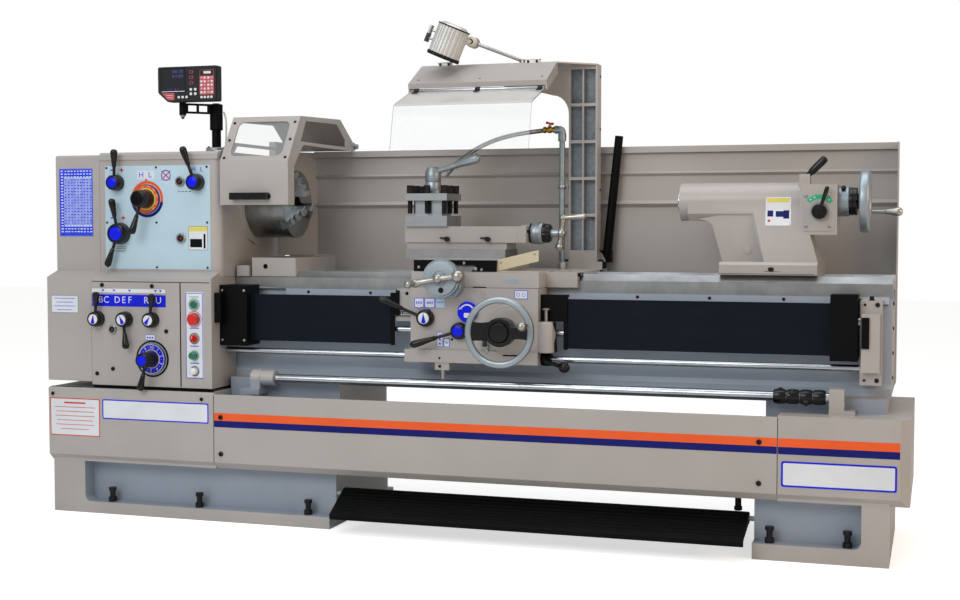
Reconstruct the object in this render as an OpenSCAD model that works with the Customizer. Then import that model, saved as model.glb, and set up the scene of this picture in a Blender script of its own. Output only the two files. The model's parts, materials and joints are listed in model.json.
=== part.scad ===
// Engine lathe with gap-guarded chuck, powered carriage, tailstock, splash guard and cabinet stands.
// Millimetres. X runs along the bed towards the tailstock, -Y faces the operator, Z is up.
// Inside the modules X = 0 is the right face of the headstock, Y = 0 the spindle axis, Z = 0 the floor.

/* [Machine] */
// Height of the spindle axis above the floor
spindle_z = 1130; // [1110:5:1150]
// Height of the flat ways above the floor
way_z = 878; // [866:2:890]
// Length of the bed from the left end of the headstock
bed_len = 2789; // [2700:10:3000]
// Overall height of the bed casting
bed_h = 373; // [360:1:390]
// Half width over the bed rails
bed_half = 175; // [170:1:180]
// Distance from the spindle axis to the front of the stands and tray
front = 385; // [380:1:400]
// Distance from the spindle axis to the back of the stands
back = 240; // [225:1:260]

/* [Stands and tray] */
// Length of the headstock stand body
left_stand_len = 1103; // [1090:1:1110]
// Length of the tailstock stand body
right_stand_len = 417; // [410:1:430]
// Height of the stand bodies
body_h = 200; // [190:1:205]
// Height of the top of the stand heads
head_z = 460; // [450:1:468]
// Height of the floor flange
foot_h = 42; // [36:1:48]
// Depth of the stand recess
recess = 60; // [50:1:66]
// Wall thickness of the cast stands
stand_wall = 22; // [18:1:26]
// Sheet thickness of the tray, guards and doors
sheet = 4; // [3:0.5:5]
// Diameter of the levelling screws
level_d = 20; // [16:1:22]

/* [Headstock] */
// Length of the headstock
head_len = 489; // [480:1:495]
// Distance from the spindle axis to the headstock face
head_front = 295; // [285:1:300]
// Distance from the spindle axis to the headstock back
head_back = 240; // [220:1:245]
// Top of the headstock casting
head_top = 1288; // [1275:1:1300]
// Width of the change gear cover
cover_w = 186; // [176:1:196]
// Distance from the spindle axis to the feed gearbox face
gear_front = 360; // [350:1:365]
// Top of the feed gearbox face
gear_top = 862; // [850:1:864]
// Outer diameter of the spindle in its bearings
spindle_d = 104; // [96:2:112]
// Bore through the spindle
spindle_bore = 58; // [50:1:64]

/* [Chuck] */
// Chuck diameter
chuck_d = 250; // [240:1:260]
// Chuck body length
chuck_len = 122; // [110:1:130]
// Radial position of the inner end of each jaw
jaw_in = 30; // [24:1:36]
// Thickness of the chuck adapter plate
plate_t = 30; // [26:1:34]
// Length of the chuck guard along the bed
guard_len = 266; // [256:1:276]

/* [Carriage] */
// Position of the left end of the saddle from the headstock
saddle_x = 715; // [700:1:730]
// Length of the saddle
saddle_len = 574; // [564:1:584]
// Distance from the spindle axis to the apron face
apron_front = 300; // [294:1:306]
// Length of the apron
apron_len = 452; // [440:1:460]
// Diameter of the carriage handwheel
wheel_d = 236; // [220:1:240]
// Width of the cross slide
cross_w = 300; // [290:1:306]
// Length of the compound slide
compound_len = 417; // [400:1:430]
// Side of the square tool post
post_w = 158; // [150:1:166]
// Diameter of the lead screw
lead_d = 36; // [30:1:38]
// Diameter of the feed rod
feed_d = 24; // [20:1:26]
// Diameter of the spindle control rod
control_d = 22; // [18:1:24]
// Diameter of the carriage stop bar
stop_d = 32; // [28:1:34]

/* [Tailstock] */
// Position of the left end of the tailstock barrel
tail_x = 1607; // [1590:1:1640]
// Diameter of the tailstock barrel
barrel_d = 128; // [120:1:132]
// Diameter of the quill
quill_d = 75; // [68:1:80]
// Diameter of the tailstock handwheel
tail_wheel_d = 206; // [190:1:216]

/* [Clearances] */
// Clearance between sliding faces
slide_gap = 0.3; // [0.2:0.05:0.5]
// Radial clearance of a running shaft
run = 0.05; // [0.02:0.01:0.1]
// Clearance round rods that pass through castings
pass = 4; // [2:0.5:6]

/* [Hidden] */
$fn = 48;

paint = "#B4ABA0";
dark_paint = "#8E8B86";
steel = "#B9C0C4";
black = "#1B1D20";

// ends and levels that several pieces share
bed_end = bed_len - head_len + 9;
bed_bottom = way_z - bed_h;
seat_z = way_z - 12;
cover_left = -head_len - cover_w;
stand_left = cover_left + 16;
body_right = stand_left + 9 + left_stand_len;
tray_start = 17;
tray_end = bed_end - 332;
right_body = bed_end - 410;
end_cap = bed_end + 66;
tray_bottom = body_h - 10;
panel_top = head_z - 5;
upper_half = 250;
tray_floor_x = body_right - 11;
floor_end = right_body + 26;
ground_pins = [-300, 115];

// rods that run past the front of the bed
rod_y0 = -235;
lead_z = 745;
feed_z = 690;
control_y = -250;
control_z = 602;
stop_y = -290;
stop_z = 510;
rod_end = bed_end - 45;

// lever and knob places on the headstock and gearbox, as X and Z
shaft_d = 16;
direction_at = [-head_len + 74, spindle_z + 76];
range_at = [-head_len + 87, spindle_z - 109];
high_low_at = [-88, spindle_z + 75];
speed_at = [-head_len + 197, spindle_z + 16];
knob_z = gear_top - 150;
knob_x = [-head_len + 27, -head_len + 143, -head_len + 251];
dial_at = [-head_len + 250, gear_top - 290];
switch_x = -68;
switch_z = [gear_top - 92, gear_top - 144, gear_top - 213, gear_top - 273, gear_top - 329];

// chuck stack
nose_x = 15;
nose_d = 236;
plate_x = nose_x;
chuck_x = plate_x + plate_t;
face_x = chuck_x + chuck_len;
guard_x = 5;
hinge_at = [300, 1356 + spindle_z - 1130];

// plane of the roll-up screw covers
cover_y = -262;

// carriage
saddle_end = saddle_x + saddle_len;
saddle_top = way_z + 15;
skirt_z = way_z - 37;
apron_x = saddle_x + 13;
apron_bottom = skirt_z - 214;
cross_x = saddle_x + 7;
cross_z = saddle_top + slide_gap;
cross_top = cross_z + 42;
base_x = saddle_x - 75;
base_len = compound_len - 47;
compound_x = base_x - 5;
swivel_at = [base_x + 185, -40];
base_top = cross_top + 32;
slide_z = base_top + 23;
slide_top = slide_z + 57;
post_at = [saddle_x + 3, -40];
block_z = slide_top + 37;
crank_z = slide_z + 33;
wheel_at = [apron_x + 354, apron_bottom + 74];
wheel_y = -apron_front - 120;
half_nut_at = [apron_x + 56, apron_bottom + 109];
feed_at = [apron_x + 178, apron_bottom + 67];
select_at = [apron_x + 207, apron_bottom + 132];
cross_screw = [saddle_x + 145, saddle_top - 20];
column_at = [saddle_end - 130, 190];
hood_x = saddle_x - 81;
hood_len = 511;
hood_z = 1632;
hood_edge = [-65, hood_z - 80];
window_pin = hood_edge + [5, -24];
lamp_at = [saddle_x + 119, 60, hood_z + 77];
pipe_at = [saddle_end - 149, 168];

// axis of the headstock input shaft, in Y and Z
input_at = [90, 960];

// hinge of the change gear cover
cover_hinge = [-head_len - 6, head_back + 12];
cover_pins = [930, 1190];

// post of the position readout
readout_at = [-135, -60];
post_top = head_top + 178;

// middle of the whole outline on the floor
wheel_front = wheel_y - 78;
mid_x = (cover_left + end_cap) / 2;
mid_y = (wheel_front + hinge_at.x + 16) / 2;

// A box given by its two corners.
module block(x0, x1, y0, y1, z0, z1) {
  translate([x0, y0, z0]) cube([x1 - x0, y1 - y0, z1 - z0]);
}

// A drawing in Y and Z carried from x0 to x1.
module along_x(x0, x1) {
  translate([x0, 0, 0]) rotate([90, 0, 90]) linear_extrude(height = x1 - x0) children();
}

// A drawing in X and Z carried from y0 to y1.
module along_y(y0, y1) {
  translate([0, y1, 0]) rotate([90, 0, 0]) linear_extrude(height = y1 - y0) children();
}

// A drawing in X and Y carried from z0 to z1.
module along_z(z0, z1) {
  translate([0, 0, z0]) linear_extrude(height = z1 - z0) children();
}

module rod_x(x0, x1, y, z, d) {
  translate([x0, y, z]) rotate([0, 90, 0]) cylinder(d = d, h = x1 - x0);
}

module rod_y(x, y0, y1, z, d) {
  translate([x, y1, z]) rotate([90, 0, 0]) cylinder(d = d, h = y1 - y0);
}

module rod_z(x, y, z0, z1, d) {
  translate([x, y, z0]) cylinder(d = d, h = z1 - z0);
}

// A round bar between two points.
module bar(a, b, d, d2 = undef) {
  v = b - a;
  translate(a) rotate([0, acos(v.z / norm(v)), atan2(v.y, v.x)])
    cylinder(d1 = d, d2 = is_undef(d2) ? d : d2, h = norm(v));
}

// The outline of a bent sheet: a path and the same path set off by the sheet's thickness.
function unit(v) = v / norm(v);
function side(v) = [-v.y, v.x];
function bend(p, i) =
  let (a = unit(p[max(i, 1)] - p[max(i, 1) - 1]),
       b = unit(p[min(i + 1, len(p) - 1)] - p[min(i, len(p) - 2)]))
  (side(a) + side(b)) / (1 + side(a) * side(b));
module bent_sheet(p, t) {
  polygon(concat(p, [for (i = [len(p) - 1 : -1 : 0]) p[i] + t * bend(p, i)]));
}

// A filled rectangle with round corners, from lines and circles.
module round_box(x0, x1, y0, y1, r) {
  translate([x0 + r, y0]) square([x1 - x0 - 2 * r, y1 - y0]);
  translate([x0, y0 + r]) square([x1 - x0, y1 - y0 - 2 * r]);
  for (x = [x0 + r, x1 - r], y = [y0 + r, y1 - r]) translate([x, y]) circle(r = r);
}

// A hand lever on a shaft along Y: tapered hub, thin neck, thick grip, and the shaft's end in its casting.
module lever(at, face, tip, hub_d = 60, hub_len = 38, lean = 12, shaft_len = 12) {
  y = -face - slide_gap;
  root = [at.x, y - hub_len * 0.6, at.y];
  end = [at.x + tip.x, y - hub_len * 0.6 - lean, at.y + tip.y];
  neck = root + (end - root) * 0.5;
  translate([at.x, y, at.y]) rotate([90, 0, 0]) cylinder(d1 = hub_d, d2 = hub_d * 0.82, h = hub_len);
  bar(root, neck + (end - neck) * 0.1, 11);
  bar(neck, end, 15, 25);
  bar(neck + (end - neck) * 0.99, end + (end - neck) * 0.1, 24.8, 15);
  rod_y(at.x, y - 1, -face + shaft_len, at.y, shaft_d);
}

// Holes for lever shafts through a front wall.
module shaft_holes(places, y0, y1, d = shaft_d) {
  for (p = places) rod_y(p.x, y0, y1, p.y, d + 2 * run);
}

// The stand's outer recess with its rounded foot, open to one end.
module stand_recess(x0, x1, foot) {
  for (s = [[-front - 1, -front + 15 + recess], [back - recess, back + 1]])
    along_y(s[0], s[1]) round_box(x0, x1, foot, body_h + 40, 25);
}

module level_holes(xs, z) {
  for (x = xs, y = [-front + 42, back - 28]) rod_z(x, y, -1, z, level_d + 2);
}
left_levels = [stand_left + 238, stand_left + 594, stand_left + 1020];
right_levels = [right_body + 52, right_body + 291];

// Cast cabinet under the headstock, with the motor room behind a side door.
module headstock_stand() color(paint) {
  difference() {
    union() {
      block(stand_left + 9, body_right, -front + 15, back, 0, body_h);
      along_x(stand_left, tray_start) polygon([
        [-front, tray_bottom + 24], [-front, head_z - 6], [-front + 6, head_z], [back, head_z],
        [back, tray_bottom], [-front + 24, tray_bottom]]);
      block(-head_len + 4, tray_start, -upper_half + 75, 200, head_z - 1, bed_bottom);
      block(tray_start - 1, tray_floor_x, -upper_half, 200, body_h - 1, bed_bottom);
    }
    difference() {
      stand_recess(stand_left + 140, body_right + 60, foot_h);
      block(stand_left, tray_start, -front - 2, back + 2, tray_bottom, head_z);
      block(tray_start - 2, tray_floor_x, -upper_half, back, body_h - 1, head_z);
    }
    block(stand_left + stand_wall, -60, -280, back - recess - stand_wall, foot_h, head_z - stand_wall);
    block(stand_left + stand_wall, -head_len + 4, -130, 170, head_z - stand_wall - 1, head_z + 1);
    block(stand_left - 1, stand_left + stand_wall + 1, -220, 120, body_h + 35, head_z - 40);
    block(-30, tray_floor_x - stand_wall, -upper_half + stand_wall, 170, foot_h, bed_bottom - stand_wall);
    level_holes(left_levels, foot_h + 1);
  }
  // side door over the motor room
  block(stand_left - 3, stand_left, -240, 140, body_h + 20, head_z - 25);
  // bracket of the carriage stop bar
  difference() {
    union() {
      block(91, 163, stop_y - 34, -upper_half + 1, head_z - 8, head_z + 14);
      block(128, 164, stop_y - 28, -upper_half + 1, head_z, stop_z);
      rod_x(128, 164, stop_y, stop_z, 60);
      rod_x(164, 214, stop_y, stop_z, 56);
    }
    rod_x(127, 215, stop_y, stop_z, stop_d + 2 * run);
  }
  // pivot pin of the treadle
  rod_x(body_right - 8, body_right + 40, ground_pins.x, ground_pins.y, shaft_d);
}

// Cast cabinet under the tailstock end.
module tailstock_stand() color(paint) {
  difference() {
    union() {
      block(right_body, bed_end + 7, -front + 15, back, 0, body_h);
      difference() {
        along_z(tray_bottom, head_z) polygon([
          [tray_end, -front], [end_cap - 30, -front], [end_cap, -front + 30], [end_cap, back],
          [tray_end, back]]);
        along_x(tray_end - 1, end_cap + 1) polygon([
          [-front - 1, tray_bottom - 1], [-front - 1, tray_bottom + 25], [-front + 25, tray_bottom - 1]]);
      }
      block(floor_end, bed_end - 9, -upper_half, 200, body_h - 1, bed_bottom);
    }
    difference() {
      stand_recess(right_body - 60, right_body + 333, foot_h + 9);
      block(floor_end, end_cap, -upper_half, back + 2, body_h - 1, bed_bottom);
      block(tray_end, end_cap, -front - 2, back + 2, tray_bottom, head_z);
    }
    block(floor_end + stand_wall, bed_end - 40, -upper_half + stand_wall, 170, foot_h, bed_bottom - stand_wall);
    level_holes(right_levels, foot_h + 11);
  }
  difference() {
    union() {
      block(bed_end - 182, bed_end - 103, stop_y - 34, -upper_half + 1, head_z - 8, head_z + 14);
      block(bed_end - 182, bed_end - 136, stop_y - 31, -upper_half + 1, head_z, stop_z + 31);
    }
    rod_x(bed_end - 183, bed_end - 135, stop_y, stop_z, stop_d + 2 * run);
  }
  rod_x(right_body - 40, right_body + 8, ground_pins.x, ground_pins.y, shaft_d);
}

// Screws with nuts that level the stands on the floor.
module levelling_screws() color(black) {
  for (x = concat(left_levels, right_levels), y = [-front + 42, back - 28]) {
    z = x > right_body ? foot_h + 9 : foot_h;
    rod_z(x, y, 0, z + 40, level_d);
    rod_z(x, y, z + 40, z + 52, level_d * 1.4);
    rod_z(x, y, z, z + 16, level_d * 1.5);
  }
}

// Folded tray between the stands, with its long front panel.
module chip_tray() color(paint) {
  along_x(tray_start + 0.5, tray_end - 0.5) bent_sheet([
    [-front + 30, tray_bottom], [-front + 24, tray_bottom], [-front, tray_bottom + 24],
    [-front, panel_top], [-front + 14, panel_top]], -sheet);
  along_x(tray_floor_x + 0.5, floor_end - 0.5) bent_sheet([
    [-front + 24, tray_bottom], [-front + 40, tray_bottom], [-front + 40, body_h],
    [back + 8, body_h], [back + 8, body_h + 100]], sheet);
  for (x = [tray_floor_x + 0.5, floor_end - 0.5 - sheet])
    block(x, x + sheet, -front + 42, back + 6, body_h + 1, body_h + 90);
}

// The bed's front rail, in Y and Z; the rear rail mirrors it with its V on the inner side.
module rail(v_out) {
  v0 = v_out ? bed_half - 4 : bed_half - 59;
  polygon(concat(
    [[-bed_half, bed_bottom], [-bed_half + 75, bed_bottom], [-bed_half + 75, bed_bottom + 25],
     [-bed_half + 43, bed_bottom + 40], [-bed_half + 43, way_z - 48], [-bed_half + 107, way_z - 40]],
    v_out
      ? [[-bed_half + 107, way_z], [-bed_half + 53, way_z], [-v0 + 42, way_z - 12],
         [-v0 + 21, way_z + 8], [-v0, way_z - 12], [-bed_half, way_z - 14]]
      : [[-bed_half + 107, way_z - 12], [-v0 + 42, way_z - 12], [-v0 + 21, way_z + 8],
         [-v0, way_z - 12], [-v0 - 6, way_z], [-bed_half, way_z]],
    [[-bed_half, way_z - 55], [-bed_half + 15, way_z - 55], [-bed_half + 15, bed_bottom + 40],
     [-bed_half, bed_bottom + 25]]));
}

// Bed casting with two rails and cross ribs, the gap bridge and the feed rack.
module bed() color(paint) {
  difference() {
    union() {
      along_x(-head_len + 9, bed_end) rail(true);
      mirror([0, 1, 0]) along_x(-head_len + 9, bed_end) rail(false);
      for (i = [0 : 9]) {
        x = -head_len + 9 + i * (bed_len - 25) / 9;
        block(x, x + 25, -bed_half + 40, bed_half - 40, bed_bottom, way_z - 95);
      }
    }
    block(-head_len, 240, -bed_half - 1, bed_half + 1, seat_z, way_z + 20);
  }
  // removable bridge over the gap, and its locating block
  seat = seat_z + slide_gap;
  difference() {
    block(66, 239.5, -bed_half, bed_half, seat, way_z + 56);
    rod_y(120, -bed_half - 1, -bed_half + 12, way_z + 24, 18);
  }
  block(10, 58, -bed_half - 10, -bed_half + 25, seat, way_z + 27);
  color(steel) block(200, bed_end - 10, -bed_half, -bed_half + 15, way_z - 78, way_z - 55);
}

// Headstock casting with its top cover, bearing bores, readout post and guard hinge pin.
module headstock() color(paint) {
  w = 18;
  difference() {
    union() {
      along_z(seat_z, head_top) union() {
        translate([-head_len, -head_front]) square([head_len - 30, head_front + head_back]);
        translate([-40, -head_front + 30]) square([40, head_front + head_back - 30]);
        translate([-30, -head_front + 30]) circle(r = 30);
      }
      rod_x(-1, 12, 0, spindle_z, nose_d + 64);
    }
    block(-head_len + w, -w, -head_front + w, head_back - w, seat_z + w, head_top + 1);
    rod_x(0, 13, 0, spindle_z, nose_d + 4);
    rod_x(-head_len - 1, 1, 0, spindle_z, spindle_d + 2 * run);
    rod_x(-head_len - 1, -head_len + w + 1, input_at.x, input_at.y, 42 + 2 * run);
    shaft_holes([direction_at, range_at, high_low_at, speed_at], -head_front - 1, -head_front + w + 1);
  }
  // bearing bosses inside the end walls
  for (x = [-head_len + w, -w - 30]) difference() {
    rod_x(x, x + 30, 0, spindle_z, spindle_d + 56);
    rod_x(x - 1, x + 31, 0, spindle_z, spindle_d + 2 * run);
  }
  // top cover with a shallow raised deck
  along_x(-head_len, -6) polygon([
    [-head_front - 4, head_top], [-head_front - 4, head_top + 18], [-head_front + 8, head_top + 28],
    [head_back - 8, head_top + 28], [head_back + 4, head_top + 18], [head_back + 4, head_top]]);
  // readout post and its foot
  color(black) {
    rod_z(readout_at.x, readout_at.y, head_top + 27, head_top + 40, 78);
    rod_z(readout_at.x, readout_at.y, head_top + 39, post_top, 34);
  }
  // pins that the change gear cover hangs on
  for (z = cover_pins) {
    block(-head_len, -head_len + 20, head_back - 2, cover_hinge.y + 11, z - 16, z);
    block(cover_hinge.x, -head_len + 1, head_back + 1, cover_hinge.y + 11, z - 16, z);
    rod_z(cover_hinge.x, cover_hinge.y, z - 16, z, 22);
    rod_z(cover_hinge.x, cover_hinge.y, z - 1, z + 56, 12);
  }
  // lug and pin that carry the chuck guard
  block(-36, -8, 180, hinge_at.x + 16, head_top + 28, hinge_at.y + 18);
  color(steel) rod_x(-36, guard_x + guard_len + 14, hinge_at.x, hinge_at.y, 20);
}

// Feed gearbox casting with the switch panel and the left roller box of the screw cover.
module feed_gearbox() color(paint) {
  back_y = -bed_half - 3;
  w = 14;
  difference() {
    along_x(-head_len, -1) polygon([
      [-gear_front, head_z + 11], [-gear_front, gear_top], [-head_front - 1, seat_z + 18],
      [-head_front - 1, seat_z - 1], [back_y, seat_z - 1], [back_y, head_z + 11]]);
    block(-head_len + w, -132, -gear_front + w, back_y - w, head_z + 25, gear_top - w);
    block(-114, -w - 1, -gear_front + w, back_y - w, head_z + 25, gear_top - w);
    shaft_holes([for (x = knob_x) [x, knob_z]], -gear_front - 1, -gear_front + w + 1);
    shaft_holes([dial_at], -gear_front - 1, -gear_front + w + 1);
    shaft_holes([for (i = [0 : 2]) [switch_x, switch_z[i]]], -gear_front - 1, -gear_front + w + 1);
    rod_x(-w - 2, 0, rod_y0, lead_z, lead_d + 2 * run);
    rod_x(-w - 2, 0, rod_y0, feed_z, feed_d + 2 * run);
    rod_x(-w - 2, 0, control_y, control_z, control_d + 2 * run);
  }
  // switch plate, coolant switch and pilot lamp
  difference() {
    block(switch_x - 34, switch_x + 35, -gear_front - 2, -gear_front, gear_top - 355, gear_top - 48);
    shaft_holes([for (i = [0 : 2]) [switch_x, switch_z[i]]], -gear_front - 3, -gear_front + 1, shaft_d + 1);
  }
  color("#1F7A4D") rod_y(switch_x, -gear_front - 24, -gear_front - 1, switch_z[3], 26);
  color("#E9ECEC") rod_y(switch_x, -gear_front - 18, -gear_front - 1, switch_z[4], 26);
  // roller box of the left screw cover
  color(black) difference() {
    union() {
      block(-1, 107, -head_front - 5, -200, 623, 838);
      block(-1, 24, -gear_front + 20, -head_front - 5, 706, 811);
    }
    block(6, 100, -head_front + 2, -bed_half - 3, 630, 831);
    block(99, 108, cover_y - 2, cover_y + 12, 636, 812);
    rod_x(-2, 108, rod_y0, lead_z, lead_d + 2 * pass);
    rod_x(-2, 108, rod_y0, feed_z, feed_d + 2 * pass);
  }
}

// Painted sheet guard behind the bed with its left return and its carrying arms.
module splash_guard() color(paint) {
  top = 1335;
  t = 3;
  along_x(106, bed_end + 2) bent_sheet([
    [288, top - 20], [288, top], [300, top], [300, 1248], [289, 1240], [300, 1230],
    [300, 1142], [284, 1130], [300, 1116], [300, 530], [300, bed_bottom + 3]], t);
  block(bed_end - 1, bed_end + 2, 180, 301, bed_bottom + 3, top);
  // slanted left panel and the low step behind the chuck
  along_z(938, top) bent_sheet([[10, 165], [112, 301]], -t);
  along_z(way_z + 16, 938) bent_sheet([[48, 182], [150, 184], [185, 301]], -t);
  along_z(935, 938) polygon([[24, 183], [150, 184], [185, 301], [112, 301]]);
  for (x = [160, 880, 1600, bed_end - 60]) block(x, x + 40, bed_half, 302, bed_bottom + 3, bed_bottom + 22);
}

// Casting that holds the right ends of the rods, with the right roller box.
module rod_bracket() color(paint) {
  x0 = bed_end - 94;
  difference() {
    union() {
      block(x0, x0 + 66, -bed_half - 87, -bed_half, 550, 816);
      block(x0 + 5, x0 + 61, -bed_half - 115, -bed_half - 80, 592, 775);
    }
    rod_x(x0 - 1, x0 + 52, rod_y0, lead_z, lead_d + 2 * run);
    rod_x(x0 - 1, x0 + 52, rod_y0, feed_z, feed_d + 2 * run);
    rod_x(x0 - 1, x0 + 52, control_y, control_z, control_d + 2 * run);
  }
  color(black) {
    block(x0 + 5.5, x0 + 29, -bed_half - 121, -bed_half - 115, 667, 764);
    difference() {
      union() {
        block(x0 - 90, x0 - 6, -bed_half - 115, -200, 626, 834);
        block(x0 - 16, x0, -bed_half - 100, -200, 640, 700);
      }
      block(x0 - 84, x0 - 12, -bed_half - 109, -bed_half - 3, 632, 828);
      block(x0 - 91, x0 - 83, cover_y - 2, cover_y + 12, 636, 812);
      rod_x(x0 - 91, x0 + 1, rod_y0, lead_z, lead_d + 2 * pass);
      rod_x(x0 - 91, x0 + 1, rod_y0, feed_z, feed_d + 2 * pass);
    }
  }
}

// Roll-up cloths that hide the lead screw on each side of the apron.
module left_screw_cover() color(black) block(101, saddle_x - 75, cover_y, cover_y + 3, 640, 806);
module right_screw_cover() color(black) block(saddle_end - 17, bed_end - 178, cover_y, cover_y + 3, 640, 806);

// The two straight runs of a belt round two pulleys, in Y and Z.
module belt_runs(a, ra, b, rb, t) {
  d = b - a;
  base = atan2(d.y, d.x);
  tip = acos((ra - rb) / norm(d));
  for (s = [-1, 1]) {
    n = [cos(base + s * tip), sin(base + s * tip)];
    polygon([a + ra * n, b + rb * n, b + (rb - t) * n, a + (ra - t) * n]);
  }
}

// Motor, its pulleys and belts, and the input shaft behind the change gear cover.
module motor_drive() {
  low = [-30, 180];
  high = input_at;
  motor_x = -head_len - 11;
  pulley_x = motor_x - 60;
  color(dark_paint) {
    rod_x(motor_x, motor_x + 290, low.x, low.y, 220);
    rod_x(motor_x + 290, motor_x + 330, low.x, low.y, 200);
    for (x = [motor_x + 40, motor_x + 200]) block(x, x + 50, low.x - 100, low.x + 100, foot_h, low.y - 60);
  }
  color(steel) {
    rod_x(motor_x - 100, motor_x + 1, low.x, low.y, 42);
    rod_x(pulley_x - 10, -head_len + 40, high.x, high.y, 42);
    rod_x(pulley_x, pulley_x + 50, low.x, low.y, 120);
    rod_x(pulley_x, pulley_x + 50, high.x, high.y, 240);
  }
  color(black) {
    rod_x(pulley_x + 5, pulley_x + 45, low.x, low.y, 134);
    rod_x(pulley_x + 5, pulley_x + 45, high.x, high.y, 254);
    along_x(pulley_x + 5, pulley_x + 45) belt_runs(low, 65, high, 125, 7);
  }
}

// Hollow spindle with its nose flange and the two gears inside the headstock.
module spindle() color(steel) difference() {
  union() {
    rod_x(-head_len - 31, nose_x, 0, spindle_z, spindle_d);
    rod_x(slide_gap, nose_x, 0, spindle_z, nose_d);
    rod_x(-head_len - 24, -head_len - 6, 0, spindle_z, spindle_d + 20);
    rod_x(-370, -320, 0, spindle_z, 180);
    rod_x(-190, -130, 0, spindle_z, 240);
  }
  rod_x(-head_len - 32, nose_x + 1, 0, spindle_z, spindle_bore);
}

// Places something drawn above the spindle axis at one of the three jaw angles.
module at_jaw(i) {
  translate([0, 0, spindle_z]) rotate([10 + 120 * i, 0, 0]) children();
}

// Three-jaw chuck with its adapter plate, jaw slots and key sockets.
module chuck() color(steel) difference() {
  union() {
    rod_x(plate_x, chuck_x, 0, spindle_z, chuck_d);
    rod_x(chuck_x, face_x, 0, spindle_z, chuck_d);
  }
  rod_x(plate_x - 1, face_x + 1, 0, spindle_z, spindle_bore);
  for (i = [0 : 2]) {
    at_jaw(i) {
      block(face_x - 16, face_x + 1, -17, 17, 0, chuck_d / 2 + 1);
      block(face_x - 30, face_x - 15, -24, 24, 0, chuck_d / 2 + 1);
    }
    translate([0, 0, spindle_z]) rotate([70 + 120 * i, 0, 0])
      rod_z(chuck_x + 42, 0, chuck_d / 2 - 40, chuck_d / 2 + 1, 26);
  }
}

// One stepped jaw with its guides in the chuck slot.
module jaw(i) color(dark_paint) at_jaw(i) {
  r0 = jaw_in;
  r1 = chuck_d / 2 - 7;
  g = slide_gap;
  along_y(-17 + g, 17 - g) polygon([
    [face_x - 30 + g, r0], [face_x + 46, r0], [face_x + 46, r0 + 20], [face_x + 33, r0 + 24],
    [face_x + 33, r0 + 44], [face_x + 19, r0 + 48], [face_x + 19, r0 + 68], [face_x + 8, r0 + 72],
    [face_x + 8, r1], [face_x - 30 + g, r1]]);
  block(face_x - 30 + g, face_x - 16 - g, -24 + g, 24 - g, r0 + 10, r1);
}

// Sheet guard over the chuck, with two windows and a handle, hinged at the back.
module chuck_guard() color(paint) {
  x1 = guard_x + guard_len;
  t = sheet;
  outline = [
    [-head_front - 5, 1123], [-head_front - 5, 1278], [-193, 1441], [165, 1452],
    [hinge_at.x - 6, hinge_at.y + 12]];
  difference() {
    union() {
      along_x(guard_x, x1) bent_sheet(outline, -t);
      for (x = [guard_x, x1 - t]) along_x(x, x + t) difference() {
        polygon(concat(outline, [
          [hinge_at.x - 12, 1338], [-170, 1338], [-248, 1260], [-248, 1123]]));
        polygon([[-192, 1350], [-146, 1425], [130, 1432], [210, 1376], [210, 1350]]);
      }
      rod_x(guard_x, x1, hinge_at.x, hinge_at.y, 32);
    }
    rod_x(guard_x - 1, x1 + 1, hinge_at.x, hinge_at.y, 20 + 2 * run);
    // window in the slanted front
    translate([0, -head_front - 5, 1278]) rotate([-33.3, 0, 0])
      along_y(-20, 20) round_box(guard_x + 32, x1 - 32, 22, 172, 24);
  }
  // clear pane inside the window, and the handle
  color("#DDE6E8") translate([0, -head_front - 5, 1278]) rotate([-33.3, 0, 0])
    block(guard_x + 14, x1 - 14, t, t + 3, 10, 182);
  color(black) {
    block(guard_x + 50, x1 - 72, -head_front - 33, -head_front - 21, 1141, 1166);
    for (x = [guard_x + 50, x1 - 84]) block(x, x + 12, -head_front - 26, -head_front - 5, 1141, 1166);
  }
}

// Cover over the change gears and belts, with hinge rings at the back.
module gear_cover() color(paint) {
  w = sheet + 2;
  top_z = head_top + 20;
  x1 = -head_len - 1;
  low_z = head_z + 22;
  difference() {
    union() {
      along_x(cover_left, x1) polygon([
        [-gear_front, low_z], [-gear_front, gear_top], [-head_front, seat_z + 18], [-head_front, top_z - 6],
        [-head_front + 8, top_z], [head_back - 8, top_z], [head_back, top_z - 6], [head_back, low_z]]);
      for (z = cover_pins) rod_z(cover_hinge.x, cover_hinge.y, z + slide_gap, z + 54, 22);
      for (z = cover_pins)
        block(cover_hinge.x - 26, cover_hinge.x, head_back - 2, cover_hinge.y + 5, z + slide_gap, z + 54);
    }
    block(cover_left + w, x1 + 1, -head_front + w, head_back - w, low_z - 1, top_z - w);
    block(cover_left + w, x1 + 1, -gear_front + w, -head_front + w + 1, low_z - 1, gear_top - 12);
    for (z = cover_pins) rod_z(cover_hinge.x, cover_hinge.y, z - 1, z + 60, 12 + 2 * run);
    // hole for bar stock that passes through the spindle
    rod_x(cover_left - 1, cover_left + w + 1, 0, spindle_z, spindle_bore + 16);
  }
}

// Levers and dials on the headstock.
module direction_lever() color(black) lever(direction_at, head_front, [8, 112], 60);
module high_low_lever() color(black) lever(high_low_at, head_front, [-38, 118], 62);

module range_lever() color(black) {
  lever(range_at, head_front, [-16, 118], 80, 40);
  lever(range_at, head_front, [-36, -112], 80, 40);
}

module speed_dial() color(black) {
  rod_y(speed_at.x, -head_front - 12, -head_front - slide_gap, speed_at.y, 106);
  lever(speed_at, head_front, [-28, -118], 68, 70, 20);
}

// Levers and dials on the feed gearbox.
module feed_knob(i, tip) color(black) lever([knob_x[i], knob_z], gear_front, tip, 58, 34, 8);
module feed_knob_left() feed_knob(0, [10, 92]);
module feed_knob_middle() feed_knob(1, [14, -98]);
module feed_knob_right() feed_knob(2, [14, 88]);

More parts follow.
